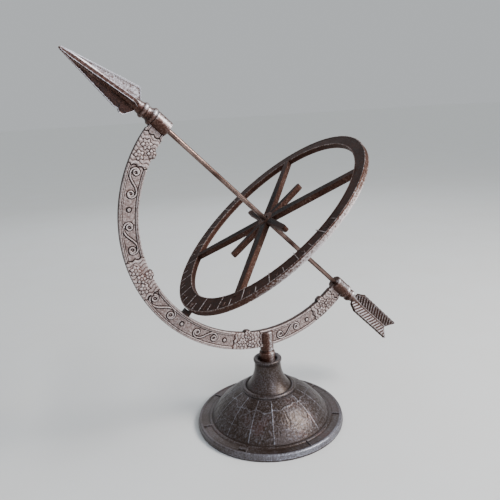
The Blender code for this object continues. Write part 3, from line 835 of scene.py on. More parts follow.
@dataclass
class Arc:
    """The meridian arc casting with its relief, collars, stem and forked lug."""

    inner: float = 124.5
    outer: float = 142.5
    thickness: float = 7.0
    field_depth: float = 1.0
    rail: float = 2.9
    start: float = 136.4            # degrees, seen from the front
    end: float = 313.6
    stations: int = 930
    columns: int = 40
    scrolls: tuple[tuple[float, float], ...] = (
        (155.8, 164.3), (177.1, 186.4), (208.8, 219.2), (234.1, 242.7), (276.6, 285.4))
    buttons: tuple[float, ...] = (170.5, 225.9, 248.2, 291.8)
    clusters: tuple[tuple[float, float], ...] = (
        (140.5, 153.5), (190.5, 207.0), (253.0, 266.0), (296.0, 309.5))
    end_half_width: float = 8.1     # of the plain ends, under the collars
    end_span: float = 4.3           # degrees
    scroll_half_width: float = 0.40
    scroll_height: float = 0.95
    button_radius: float = 1.3
    button_groove: float = 2.2      # radius of the groove round a button
    lump_limits: tuple[float, float] = (2.3, 0.5)   # past the inner and the outer edge
    edge_flower: tuple[float, float, int] = (-7.0, 4.8, 5)  # outward, radius and petals
    flower_radius: float = 5.6
    wide_cluster: float = 17.0      # half length in mm past which a cluster has three flowers
    rod_angle: float = 135.0        # degrees; the rod runs from here to the point opposite
    bead_pitch: float = 1.45
    bead_size: tuple[float, float, float] = (1.15, 1.35, 1.0)
    bead_inset: float = 0.95
    collar_radius: float = 7.8
    collar_length: float = 16.6
    collar_rounding: float = 0.9
    bore: float = 2.85
    stem_radius: float = 7.2
    spigot_radius: float = 5.0
    tap_radius: float = 3.2
    lug_reach: tuple[float, float] = (118.0, 126.5)
    lug_half_widths: tuple[float, float] = (3.8, 4.2)
    lug_half_depth: float = 2.6
    centre: Vector = field(default_factory=lambda: joint_frame("arrow_turn")[0])

    @property
    def middle(self) -> float:
        """Radius of the middle of the arc's face."""
        return (self.inner + self.outer) / 2

    def scroll_path(self, first: float, last: float) -> np.ndarray:
        """An S-scroll whose two ends curl in, as (along in mm, outward in mm) points.

        Args:
            first: Angle in degrees of one curl's centre.
            last: Angle of the other's.

        Returns:
            Array of points, the distance along measured from angle 0.
        """
        reach = 2.55
        t = np.linspace(-reach, reach, 261)
        step = t[1] - t[0]
        cosine = np.cumsum(np.cos(math.pi * t ** 2 / 2)) * step
        sine = np.cumsum(np.sin(math.pi * t ** 2 / 2)) * step
        cosine -= cosine[130]
        sine -= sine[130]
        size = math.radians(last - first) * self.middle / math.sqrt(2)
        across = (-cosine + sine) / math.sqrt(2) * size
        up = (cosine + sine) / math.sqrt(2) * size
        centre = math.radians((first + last) / 2) * self.middle
        return np.stack([centre - up, -across], axis=1)

    def rosettes(self) -> list[tuple[float, float, float, int]]:
        """Each flower's (along in mm, outward in mm, radius in mm, petals)."""
        flowers = []
        for number, (start, end) in enumerate(self.clusters):
            centre = math.radians((start + end) / 2) * self.middle
            half = math.radians(end - start) / 2 * self.middle
            flowers.append((centre, *self.edge_flower))
            count = 3 if half > self.wide_cluster else 2
            for k in range(count):
                along = centre + (k - (count - 1) / 2) * 1.5 * half / count
                side = 2.8 if (k + number) % 2 else 1.0
                flowers.append((along, side, self.flower_radius - 0.6 * (k % 2), 6 - k % 2))
        return flowers

    def nearest(self, along: np.ndarray, out: np.ndarray, path: np.ndarray) -> np.ndarray:
        """Distance from each grid point to a path, 9 mm where it is far away."""
        distance = np.full(along.shape, 9.0)
        near = (along > path[:, 0].min() - 3) & (along < path[:, 0].max() + 3)
        points = np.stack([along[near], out[near]], axis=1)
        best = np.full(len(points), 9.0)
        for point in path:
            best = np.minimum(best, np.hypot(points[:, 0] - point[0], points[:, 1] - point[1]))
        distance[near] = best
        return distance

    def cluster_mask(self, along: np.ndarray, out: np.ndarray) -> tuple[np.ndarray, np.ndarray]:
        """Where the flower clusters are, and the groove along their scalloped ends."""
        mask = np.zeros_like(along)
        groove = np.zeros_like(along)
        for start, end in self.clusters:
            centre = math.radians((start + end) / 2) * self.middle
            half = math.radians(end - start) / 2 * self.middle
            scallop = half - 1.6 * np.abs(np.sin(out * 0.52)) + 0.6
            inside = scallop - np.abs(along - centre)
            mask = np.maximum(mask, smooth_step(inside / 0.7))
            groove = np.maximum(groove, stroke(np.abs(inside + 0.5), 0.3, 0.6))
        return mask, groove

    def flower_height(self, along: np.ndarray, out: np.ndarray) -> tuple[np.ndarray, np.ndarray]:
        """Height in mm of the flowers and leaves, and how deep in a crease each point lies."""
        vein = np.abs(np.sin(along * 0.8 + 0.8 * np.sin(out * 0.7)))
        height = -0.55 + 0.40 * vein
        crease = 0.8 * stroke(vein, 0.10, 0.25)
        for centre, offset, size, petals in self.rosettes():
            reach = np.hypot(along - centre, out - offset)
            turn = np.arctan2(out - offset, along - centre)
            edge = size * (0.84 + 0.16 * np.cos(petals * turn))
            share = reach / edge
            dome = np.sqrt(np.clip(1 - share ** 2, 0, 1))
            petal = 0.30 + 0.70 * np.abs(np.cos(petals * turn / 2)) ** 0.6
            curl = 0.16 * np.cos(2 * math.pi * reach / 1.9 + turn)
            flower = -0.5 + 1.15 * dome * petal + curl * dome
            eye = -0.1 + 0.85 * np.sqrt(np.clip(1 - (reach / (0.26 * size)) ** 2, 0, 1))
            flower = np.where(reach < 0.26 * size, eye, flower)
            height = np.where(share < 1, np.maximum(height, flower), height)
            fold = 0.55 * stroke(np.abs(np.cos(petals * turn / 2)) * reach, 0.14, 0.35)
            fold = np.maximum(fold, stroke(np.abs(reach - 0.32 * size), 0.16, 0.28))
            crease = np.where(share < 0.93, fold, crease)
            crease = np.maximum(crease, stroke(np.abs(reach - edge), 0.30, 0.34))
        return height, crease

    def face_height(self, degrees: np.ndarray,
                    out: np.ndarray) -> tuple[np.ndarray, np.ndarray]:
        """Height of the arc's face in mm, 0 at the rim's level, and its dark creases.

        Args:
            degrees: Angle round the arc.
            out: Distance outwards from the middle of the face, in mm.

        Returns:
            The height at each point, and how deep in a crease it lies, from 0 to 1.
        """
        along = np.radians(degrees) * self.middle
        border = (self.outer - self.inner) / 2 - self.rail
        edge = np.abs(out)
        ground = 0.16 * (lattice_noise(along / 0.95, out / 0.95, 17) - 0.5)
        ground += 0.12 * (lattice_noise(along / 2.6, out / 2.6, 19) - 0.5)
        height = -self.field_depth + ground
        raised = np.zeros_like(along)
        groove = np.zeros_like(along)
        for first, last in self.scrolls:
            away = self.nearest(along, out, self.scroll_path(first, last))
            raised = np.maximum(raised, stroke(away, self.scroll_half_width, 0.42))
            groove = np.maximum(groove, stroke(np.abs(away - 1.12), 0.18, 0.34))
        for centre in self.buttons:
            away = np.hypot(along - math.radians(centre) * self.middle, out)
            raised = np.maximum(raised, stroke(away, self.button_radius, 0.5))
            groove = np.maximum(groove, stroke(np.abs(away - self.button_groove), 0.30, 0.4))
        height = height + self.scroll_height * raised - 0.40 * groove * (1 - raised)
        rail = smooth_step((edge - border + 0.25) / 0.5)
        rim = -0.30 + 0.34 * stroke(np.abs(edge - border - 0.45), 0.22, 0.35)
        rim = rim - 0.25 * stroke(np.abs(edge - border - 1.1), 0.10, 0.30)
        height = height * (1 - rail) + rim * rail
        line = stroke(np.abs(edge - border + 0.35), 0.14, 0.35)
        height -= 0.30 * line
        crease = np.maximum(groove * (1 - raised) * (1 - rail), 0.8 * line)
        crease = np.maximum(crease, 0.6 * stroke(np.abs(edge - border - 1.1), 0.10, 0.30))
        mask, mouth = self.cluster_mask(along, out)
        flowers, folds = self.flower_height(along, out)
        height = height * (1 - mask) + flowers * mask
        crease = np.maximum(crease * (1 - mask) + folds * mask, mouth)
        return height - 0.35 * mouth * (1 - mask), crease

    def lumps(self, degrees: np.ndarray, side: int) -> np.ndarray:
        """How far the flowers stand past the inner (-1) or outer (1) edge, in mm."""
        along = np.radians(degrees) * self.middle
        half = (self.outer - self.inner) / 2
        reach = np.zeros_like(degrees)
        for centre, offset, size, _ in self.rosettes():
            chord = np.sqrt(np.clip(size ** 2 - (along - centre) ** 2, 0, None))
            reach = np.maximum(reach, np.where(chord > 0, side * offset + chord - half, 0))
        return np.clip(reach, 0, self.lump_limits[side > 0])

    def bar(self) -> bpy.types.Object:
        """The curved bar with its relief on both faces."""
        degrees = np.linspace(self.start, self.end, self.stations)
        half = (self.outer - self.inner) / 2
        first, last = self.rod_angle, self.rod_angle + 180
        from_rod = np.minimum(np.abs(degrees - first), np.abs(degrees - last))
        near_end = from_rod < self.end_span
        low = np.where(near_end, -self.end_half_width, -half - self.lumps(degrees, -1))
        high = np.where(near_end, self.end_half_width, half + self.lumps(degrees, 1))
        share = np.linspace(0, 1, self.columns)[None, :]
        out = low[:, None] + (high - low)[:, None] * share
        grid = np.repeat(degrees[:, None], self.columns, axis=1)
        height, crease = self.face_height(grid, out)
        margin = np.minimum(out - low[:, None], high[:, None] - out)
        height -= 0.55 * (1 - smooth_step(margin / 0.6))
        level = self.thickness / 2 + height
        wall = 4
        steps = np.linspace(0, 1, wall + 2)[1:-1]
        outer_wall = level[:, -1:] * (1 - 2 * steps)
        inner_wall = -level[:, :1] * (1 - 2 * steps)
        y = np.concatenate([-level, -outer_wall, level[:, ::-1], -inner_wall], axis=1)
        bulge = 0.35 * (1 - (1 - 2 * steps) ** 2)
        radius = [out, out[:, -1:] + bulge, out[:, ::-1], out[:, :1] - bulge]
        turn = np.radians(degrees)[:, None]
        radius = np.concatenate(radius, axis=1) + self.middle
        rings = np.stack([radius * np.cos(turn), y, radius * np.sin(turn)], axis=-1)
        rings += np.array(self.centre)
        tone = 0.66 + 0.10 * np.clip(height + 0.7, -0.6, 0.9) - 0.52 * crease
        # painted shade: the arc's side walls are drawn darker than its faces
        walls = np.full((self.stations, wall), 0.28)
        relief = np.concatenate([tone, walls, tone[:, ::-1], walls], axis=1)
        draft = Draft()
        draft.add_rings(rings, relief=relief)
        return draft.build("arc_bar", ARC_IRON.material(), wear_and_shade=0.7, sharp=70)

    def bead_rows(self, material: bpy.types.Material) -> bpy.types.Object:
        """Rope of fine beads along both edges of both faces."""
        rows = []
        gaps = [self.start + 3.2, *(angle for pair in self.clusters for angle in pair), self.end]
        runs = [(gaps[k], gaps[k + 1]) for k in range(2, len(gaps) - 2, 2)]
        for start, end in runs:
            for radius in (self.inner + self.bead_inset, self.outer - self.bead_inset):
                pitch = math.degrees(self.bead_pitch / radius)
                count = int((end - start - 1.6) / pitch)
                for face in (-1, 1):
                    row = CircleRow("rail_beads", Motif.BEAD, count, radius, start + 0.8, pitch,
                                    self.bead_size, lift=-face * (self.thickness / 2 - 0.22))
                    rows.append((row, self.arc_place()))
        return build_rows("arc_rail_beads", rows, material, tone=0.74)

    def arc_place(self) -> Matrix:
        """Frame at the arc's centre: X along world X, Y up and Z to the front."""
        turn = Matrix(((1, 0, 0), (0, 0, -1), (0, 1, 0))).to_4x4()
        return Matrix.Translation(self.centre) @ turn

    def collars(self, material: bpy.types.Material) -> bpy.types.Object:
        """The plain collar on each end of the arc, bored for the rod."""
        half, radius, edge = self.collar_length / 2, self.collar_radius, self.collar_rounding
        profile = [(self.bore, -half + 0.4), (self.bore + 0.4, -half), (radius - 1.3, -half)]
        profile += arc_points((radius - edge, -half + edge), edge, -90, 0, 5)
        profile += arc_points((radius - edge, half - edge), edge, 0, 90, 5)
        profile += [(self.bore + 0.4, half), (self.bore, half - 0.4)]
        draft = Draft(tone=0.36, painted_highlight=0.46)
        rod = axis_matrix(*joint_frame("arrow_turn"))
        for side in (1, -1):
            place = rod @ Matrix.Translation((0, 0, side * self.middle))
            draft.add_lathe(refine(profile + profile[:1], 0.9)[:-1], 72, closed=True, place=place)
        return draft.build("arc_collars", material, wear_and_shade=1.2)

    def stem(self, material: bpy.types.Material) -> bpy.types.Object:
        """The stem: boss over the arc, shank in the cup, and the spigot tapped for the bolt."""
        radius, spigot, tap = self.stem_radius, self.spigot_radius, self.tap_radius
        profile = [(tap, 54.3), (spigot - 0.6, 54.3), (spigot, 55.3), (spigot, 69.3)]
        profile += [(8.0, 69.3), (8.4, 69.8)]
        profile += arc_points((7.6, 79.6), 0.8, 0, 60, 3)
        profile += arc_points((7.9, 81.9), 1.4, 250, 195, 4)
        profile += [(radius + 0.1, 83.4), (radius, 88.0), (radius, 101.6)]
        profile += arc_points((radius - 1.4, 102.6), 1.4, 0, 90, 5)
        profile += [(0.6, 104.0), (0.6, 67.0), (tap, 66.0)]
        draft = Draft(tone=0.34, painted_highlight=1.1)
        draft.add_lathe(refine(profile + profile[:1], 1.0)[:-1], 64, closed=True)
        return draft.build("arc_stem", material, wear_and_shade=1.2)

    def lug(self, material: bpy.types.Material, dial_place: Matrix, dial_radius: float,
            dial_thickness: float) -> bpy.types.Object:
        """The forked lug at the arc's middle, slotted for the dial's rim."""
        (near, far), (slim, wide) = self.lug_reach, self.lug_half_widths
        outline = [(near, -slim), (near, slim), (far, wide), (far, -wide)]
        depth = self.lug_half_depth
        rings = np.array([[(x, y, z) for x, z in outline] for y in (-depth, depth)])
        angle = math.radians(-self.rod_angle - 90)
        turn = Matrix.Translation(self.centre) @ Matrix.Rotation(angle, 4, "Y")
        draft = Draft(tone=0.22)
        draft.add_rings(moved(rings, turn))
        lug = draft.build("arc_lug", material)
        slot = Draft()
        half = dial_thickness / 2 + 0.5
        slot.add_lathe(np.array([(dial_radius + 0.5, -half), (dial_radius + 0.5, half)]), 240,
                       place=dial_place)
        cut(lug, slot)
        bevelled(lug, 0.35)
        return lug

    def build(self, dial: "Dial") -> None:
        """Args:
            dial: The dial, whose rim the lug holds.
        """
        bar = self.bar()
        relief_iron = bar.data.materials[0]
        plain_iron = ARROW_IRON.material()
        declare(bar, Body.ARC, Slot.ARC_IRON, "meridian_arc")
        declare(self.bead_rows(relief_iron), Body.ARC, Slot.ARC_IRON)
        declare(self.collars(plain_iron), Body.ARC, Slot.ARC_IRON)
        declare(self.stem(plain_iron), Body.ARC, Slot.ARC_IRON)
        lug = self.lug(plain_iron, dial.place(), dial.outer, dial.thickness)
        declare(lug, Body.ARC, Slot.ARC_IRON)


# ---------------------------------------------------------------- the hour dial


@dataclass
class Dial:
    """The hour dial casting: eccentric hour band, eight-pointed star and hub."""

    outer: float = 119.5
    inner: float = 104.3
    shift: tuple[float, float] = (2.6, -1.5)
    thickness: float = 6.0
    star_turn: float = -5.0
    long_widths: tuple[float, float] = (9.5, 6.5)
    short_widths: tuple[float, float] = (7.5, 5.0)
    long_length: float = 109.0
    short_length: float = 50.0
    star_depth: float = 5.6
    hub_bore: float = 3.75
    star_points: int = 8
    noon: float = 180.0             # degrees in the dial's plane, at the lug
    hour_step: float = 15.0         # degrees
    painted_highlight_azimuth: float = -88.0      # degrees; the painted highlight on the rim's wall is brightest there
    numerals: tuple[str, ...] = ("VI", "VII", "VIII", "IX", "X", "XI", "XII", "I", "II", "III",
                                 "IV", "V", "VI")
    letter_height: float = 4.6
    letter_inset: float = 5.2       # from the band's outer edge to the letters' middle
    letter_lift: float = 2.68
    letter_turn: float = 3.6        # degrees from an hour line to its numeral

    @property
    def first_hour(self) -> float:
        """Degrees in the dial's plane of the first hour line."""
        return self.noon - self.hour_step * (len(self.numerals) - 1) / 2

    def place(self) -> Matrix:
        """The dial's frame: Z square to it, X away from the lug."""
        return axis_matrix(*joint_frame("dial_turn"))

    def inner_radius(self, turn: np.ndarray) -> np.ndarray:
        """Distance from the dial's centre to the band's inner edge at an angle in radians."""
        across = self.shift[0] * np.cos(turn) + self.shift[1] * np.sin(turn)
        square = across ** 2 - self.shift[0] ** 2 - self.shift[1] ** 2 + self.inner ** 2
        return across + np.sqrt(square)

    def band(self, material: bpy.types.Material) -> bpy.types.Object:
        """The hour band, with a fine raised border inside and outside."""
        segments, columns = 720, 26
        turn = np.linspace(0, 2 * math.pi, segments, endpoint=False)[:, None]
        low, high = self.inner_radius(turn), np.full_like(turn, self.outer)
        share = np.linspace(0, 1, columns)[None, :]
        radius = low + (high - low) * share
        margin = np.minimum(radius - low, high - radius)
        degrees = np.degrees(turn) + 0 * radius
        height = -0.45 + 0.35 * stroke(np.abs(margin - 0.8), 0.35, 0.4)
        height -= 0.40 * (1 - smooth_step(margin / 0.5))
        height += 0.14 * (lattice_noise(degrees / 0.6, radius / 1.2, 41) - 0.5)
        half = self.thickness / 2
        under_share = np.linspace(1, 0, 8)[None, :]
        under = low + (high - low) * under_share
        under_margin = np.minimum(under - low, high - under)
        under_level = -half + 0.35 * (1 - smooth_step(under_margin / 0.6))
        wall = np.linspace(1, -1, 6)[None, 1:-1] * (half - 0.8)
        wobble = 0.10 * lattice_noise(degrees[:, :4] * 1.1, wall + 9 + 0 * turn, 43)
        heights = [half + height, wall + 0 * turn, under_level, -wall + 0 * turn]
        radii = [radius, high - wobble + 0 * wall, under, low + wobble + 0 * wall]
        level, reach = np.concatenate(heights, axis=1), np.concatenate(radii, axis=1)
        rings = np.stack([reach * np.cos(turn), reach * np.sin(turn), level], axis=-1)
        # painted highlight: the band's walls and underside are drawn brighter towards one azimuth
        highlit = np.clip(np.cos(turn - math.radians(self.painted_highlight_azimuth)), 0, 1) ** 4
        tone = np.full(level.shape, 0.42) + 0.38 * highlit
        tone[:, :columns] = 0.40 + 0.45 * np.clip(height + 0.45, 0, 0.4)
        draft = Draft()
        draft.add_rings(moved(rings, self.place()), closed=True, relief=tone)
        return draft.build("dial_band", material, wear_and_shade=0.9, sharp=60)

    def hour_lines(self, material: bpy.types.Material) -> bpy.types.Object:
        """Raised lines at the hours and half hours, over the half of the band round noon."""
        length = self.outer - self.inner + abs(self.shift[0]) - 2.6
        middle = self.outer - 1.4 - length / 2
        step, count, lift = self.hour_step, len(self.numerals), self.thickness / 2 - 0.36
        hours = CircleRow("hour_lines", Motif.BAR, count, middle, self.first_hour, step,
                          (length, 0.75, 0.7), lift=lift)
        halves = CircleRow("half_hour_lines", Motif.BAR, count + 1, self.outer - 5.2,
                           self.first_hour - step / 2, step, (7.4, 0.55, 0.6), lift=lift)
        rows = [(hours, self.place()), (halves, self.place())]
        return build_rows("dial_hour_lines", rows, material, tone=0.76)

    def numeral_marks(self, material: bpy.types.Material) -> bpy.types.Object:
        """Raised hour numerals, one beside each hour line."""
        widths = {"I": 1.15, "V": 2.9, "X": 2.9}
        slants = {"I": (0.0,), "V": (0.30, -0.30), "X": (0.52, -0.52)}
        offsets = {"I": (0.0,), "V": (-0.68, 0.68), "X": (0.0, 0.0)}
        draft = Draft()
        for number, numeral in enumerate(self.numerals):
            turn = math.radians(self.first_hour + self.hour_step * number + self.letter_turn)
            seat = Matrix.Rotation(turn + math.pi / 2, 4, "Z")
            cursor = -sum(widths[letter] for letter in numeral) / 2
            for letter in numeral:
                cursor += widths[letter] / 2
                for slant, offset in zip(slants[letter], offsets[letter]):
                    spot = Matrix.Translation((cursor + offset, self.letter_inset - self.outer,
                                               self.letter_lift))
                    place = self.place() @ seat @ spot @ Matrix.Rotation(slant, 4, "Z")
                    draft.add_bar(place, (0.55, self.letter_height, 0.5), 0.12)
                cursor += widths[letter] / 2
        return draft.build("dial_numerals", material)

    def star_outline(self) -> list[tuple[float, float]]:
        """Corners of the star, point by point, with each pair of points meeting at a root."""
        corners = []
        step = 360 / self.star_points
        for k in range(self.star_points):
            turn = math.radians(self.star_turn + step * k)
            is_long = k % 2 == 1
            root, tip = self.long_widths if is_long else self.short_widths
            length = self.long_length if is_long else self.short_length
            after = self.short_widths[0] if is_long else self.long_widths[0]
            nose = [(length, -tip / 2), (length, tip / 2)]
            if not is_long:
                nose = arc_points((length - tip / 2, 0), tip / 2, -90, 90, 6)
            join = math.radians(step)
            gap = (root / 2 * math.cos(join) + after / 2) / math.sin(join)
            for x, y in nose + [(gap, root / 2)]:
                corners.append((x * math.cos(turn) - y * math.sin(turn),
                                x * math.sin(turn) + y * math.cos(turn)))
        return corners

    def star(self, material: bpy.types.Material) -> bpy.types.Object:
        """The compass star with its loose bore."""
        outline = refine(self.star_outline() + self.star_outline()[:1], 3.0)[:-1]
        half = self.star_depth / 2
        draft = Draft()
        levels = (-half, 0.6 - half, half - 0.6, half)
        rings = np.stack([np.column_stack([outline, np.full(len(outline), z)]) for z in levels])
        # painted light: the star's side walls are drawn lighter than its faces
        tone = np.array([0.45, 0.52, 0.52, 0.45])[:, None] + np.zeros(len(outline))
        draft.add_rings(moved(rings, self.place()), relief=tone)
        star = draft.build("dial_star", material)
        hole = Draft()
        hole.add_lathe(np.array([(self.hub_bore, -9.0), (self.hub_bore, 9.0)]), 48,
                       place=self.place())
        cut(star, hole)
        bevelled(star, 0.55, 3)
        return star

    def hub(self, material: bpy.types.Material) -> bpy.types.Object:
        """The low round boss round the bore, on both sides of the star."""
        upper = [(self.hub_bore, 3.3), (6.6, 3.5), (8.2, 3.1), (9.3, 2.5)]
        profile = [(radius, -height) for radius, height in upper] + upper[::-1]
        draft = Draft()
        draft.add_lathe(refine(profile + profile[:1], 0.8)[:-1], 64, closed=True,
                        place=self.place())
        return draft.build("dial_hub", material, wear_and_shade=1.0)

    def build(self) -> None:
        iron = DIAL_IRON.material()
        declare(self.band(iron), Body.DIAL, Slot.DIAL_IRON, "hour_dial")
        for piece in (self.hour_lines(iron), self.numeral_marks(iron), self.star(iron),
                      self.hub(iron)):
            declare(piece, Body.DIAL, Slot.DIAL_IRON)


# ---------------------------------------------------------------- the rod and the arrow


@dataclass
class Fins:
    """Thin blades or vanes round an axis, with a rim, a sunk panel and cast relief."""

    count: int
    rim_half: float
    panel_half: float
    rim_width: float
    stations: int = 110
    columns: int = 14
    barb_pitch: float = 0.0         # 0 for a plain panel
    barb_height: float = 0.0
    tones: tuple[float, ...] = (0.0, 0.0, 0.0, 0.0)   # painted light and shade: tone added to each one, positive where lit, negative where shaded
    # the blades' outer corners are drawn bright, a painted highlight
    corner_tone: float = 0.80
    edge_tone: float = 0.34

    def half_thickness(self, out: np.ndarray, reach: np.ndarray, root: float,
                       along: np.ndarray) -> np.ndarray:
        """Half thickness of a blade.

        Args:
            out: Distance from the axis.
            reach: The blade's own reach there.
            root: Where the blade leaves its neighbours.
            along: Height along the axis.

        Returns:
            Half thickness at each point, in mm.
        """
        rim = smooth_step(1.3 - (reach - out) / self.rim_width)
        base = smooth_step(1 - (out - root) / 2.2)
        half = self.panel_half + (self.rim_half - self.panel_half) * np.maximum(rim, base)
        if self.barb_pitch:
            wave = np.sin(2 * math.pi * (along + 1.0 * out) / self.barb_pitch)
            half = half + self.barb_height * wave * (1 - np.maximum(rim, base))
        return half

    def rings(self, reach: np.ndarray, edge: np.ndarray, root_height: np.ndarray,
              taper: np.ndarray) -> tuple[np.ndarray, np.ndarray]:
        """Rings of points round all the blades.

        Args:
            reach: Reach of each blade at each station, shape (stations, count).
            edge: Height of the blade's edge at each station.
            root_height: Height of its root at each station.
            taper: Share of the full thickness at each station.

        Returns:
            The rings, shape (stations, points, 3), and the relief value of each point.
        """
        root = self.rim_half / math.tan(math.pi / self.count)
        share = np.linspace(0, 1, self.columns)[None, :]
        rings, relief = [], []
        for k in range(self.count):
            own = np.maximum(reach[:, k:k + 1], root + 0.05)
            floor = root * taper[:, None]
            out = floor + (own - floor) * share
            level = root_height[:, None] + (edge - root_height)[:, None] * out / own
            half = self.half_thickness(out, own, root, level) * taper[:, None]
            half[:, :1] = self.rim_half * taper[:, None]
            turn = 2 * math.pi * k / self.count
            lift = np.clip((half / self.rim_half - 0.7) * 0.7, -0.15, 0.12)
            tone = 0.50 + self.tones[k] + lift
            # outer corners take the corner tone, a painted highlight
            tone[:, -1] = self.corner_tone
            strip = half[:, -1:] * np.array([[-0.6, 0.6]])
            x = np.concatenate([out, own + 0 * strip, out[:, ::-1]], axis=1)
            y = np.concatenate([-half, strip, half[:, ::-1]], axis=1)
            z = np.concatenate([level, level[:, -1:] + 0 * strip, level[:, ::-1]], axis=1)
            rings.append(np.stack([x * math.cos(turn) - y * math.sin(turn),
                                   x * math.sin(turn) + y * math.cos(turn), z], axis=-1))
            tones = [tone, self.edge_tone + 0 * strip, tone[:, ::-1]]
            relief.append(np.concatenate(tones, axis=1))
        return np.concatenate(rings, axis=1), np.concatenate(relief, axis=1)


@dataclass
class Arrow:
    """The gnomon rod with its cast arrowhead and arrow tail."""

    rod_radius: float = 2.5
    rod_half: float = 157.0
    bore: float = 2.85
    seat: float = 142.2
    droop: float = 5.5
    facing: float = 0.9
    head_length: float = 93.5
    shoulder: float = 24.0
    head_reach: float = 14.5
    tail_length: float = 87.5
    tail_reach: float = 12.8
    tail_roll: float = 210.0
    thread_depth: float = 16.9

    def place(self) -> Matrix:
        """The rod's frame: Z towards the arrowhead."""
        return axis_matrix(*joint_frame("arrow_turn"))

    def head_place(self) -> Matrix:
        """Frame of the arrowhead, whose casting droops a little from the rod."""
        seat = self.place() @ Matrix.Translation((0, 0, self.seat - self.facing))
        return seat @ Matrix.Rotation(math.radians(-self.droop), 4, "Y")

    def rod(self) -> bpy.types.Object:
        """The rod, with its ends bevelled."""
        r, h = self.rod_radius, self.rod_half
        profile = [(r - 0.6, -h), (r, -h + 0.6), (r, h - 0.6), (r - 0.6, h)]
        draft = Draft()
        draft.add_lathe(refine(profile, 6.0), 48, place=self.place())
        return draft.build("gnomon_bar", ROD_STEEL.material())

    def socket_profile(self, slim: float, ring: float,
                       length: float) -> list[tuple[float, float]]:
        """Turned socket: a bore, two rounded rings with a groove between, and a waist.

        Args:
            slim: Radius of the waist.
            ring: Radius of the rings.
            length: The socket's length.

        Returns:
            (radius, height) points in order, from the bore's floor to the waist.
        """
        first, second = length * 0.15, length * 0.72
        profile = [(0.4, self.thread_depth), (self.bore, self.thread_depth), (self.bore, 0.0)]
        profile += [(ring - 1.8, 0.0)]
        profile += arc_points((ring - 2.4, first), 2.4, -60, 70, 9)
        profile += [(slim + 1.7, 2 * first + 0.6), (slim + 1.1, 2 * first + 1.6)]
        profile += [(slim + 1.2, second - 3.0), (ring - 2.6, second - 2.3)]
        profile += arc_points((ring - 3.2, second), 2.2, -70, 70, 9)
        profile += [(slim + 1.0, second + 2.6), (slim + 0.6, length)]
        return profile

    def head(self, material: bpy.types.Material) -> bpy.types.Object:
        """The arrowhead's turned socket, tapering to its tip."""
        profile = self.socket_profile(5.0, 8.6, 16.0)
        profile += [(4.6, self.shoulder), (3.2, self.shoulder + 22)]
        profile += [(1.7, self.head_length - 4), (1.3, self.head_length - 1)]
        profile += [(0.9, self.head_length)]
        socket = Draft(tone=0.38, painted_highlight=0.40)
        socket.add_lathe(refine(profile, 1.0), 64, place=self.head_place())
        head = socket.build("arrowhead_socket", material, wear_and_shade=1.3)
        facing = Draft()
        facing.add_lathe(np.array([(16.0, self.seat - 4), (16.0, self.seat)]), 48,
                         place=self.place())
        cut(head, facing)
        return head

    def blades(self, material: bpy.types.Material) -> bpy.types.Object:
        """The arrowhead's blades, with a small notch at the lower one's shoulder."""
        # painted light and shade: the upper blade is drawn lighter, as lit, and the lower one
        # darker, as in the near blade's shadow
        fins = Fins(4, rim_half=1.7, panel_half=1.0, rim_width=1.5,
                    tones=(0.32, 0.0, -0.08, -0.04))
        tip = self.head_length - 1.5
        knots = (self.shoulder - 7, self.shoulder - 0.6, self.shoulder + 1.2, tip - 9, tip)
        reaches = (4.0, self.head_reach - 0.8, self.head_reach, 3.2, 1.4)
        along = np.unique(np.concatenate([np.linspace(knots[0], tip, fins.stations), knots]))
        reach = np.repeat(np.interp(along, knots, reaches)[:, None], 4, axis=1)
        notch = np.exp(-((along - self.shoulder - 6.5) / 1.3) ** 2)
        reach[:, 2] -= 1.1 * notch - 0.5 * np.exp(-((along - self.shoulder - 3.4) / 1.2) ** 2)
        ripple = 0.12 * np.sin(along * 1.3)[:, None] * (reach > 4)
        reach = np.minimum(reach + ripple * np.array([0.0, 1.0, 1.0, 1.0]), self.head_reach)
        taper = np.interp(along, (tip - 9, tip), (1.0, 0.47))
        rings, relief = fins.rings(reach, along, along, taper)
        draft = Draft()
        draft.add_rings(moved(rings, self.head_place()), relief=relief)
        return draft.build("arrowhead_blades", material, wear_and_shade=1.1, sharp=38)

    def tail(self, material: bpy.types.Material) -> bpy.types.Object:
        """The arrow tail's turned socket and shaft."""
        profile = self.socket_profile(4.4, 8.2, 15.0)
        profile += [(3.2, 22.0), (2.4, 35.0), (2.4, self.tail_length - 6.5)]
        profile += [(1.8, self.tail_length - 5)]
        draft = Draft(tone=0.38, painted_highlight=0.44)
        draft.add_lathe(refine(profile, 1.0), 64, place=self.tail_place())
        return draft.build("arrow_tail_shaft", material, wear_and_shade=1.3)

    def tail_place(self) -> Matrix:
        """Frame of the tail: Z away from the arc along the rod."""
        flip = Matrix.Rotation(math.pi, 4, "Y")
        return self.place() @ Matrix.Translation((0, 0, -self.seat)) @ flip

    def vanes(self, material: bpy.types.Material) -> bpy.types.Object:
        """The tail's three vanes, barbed like feathers and notched at the end."""
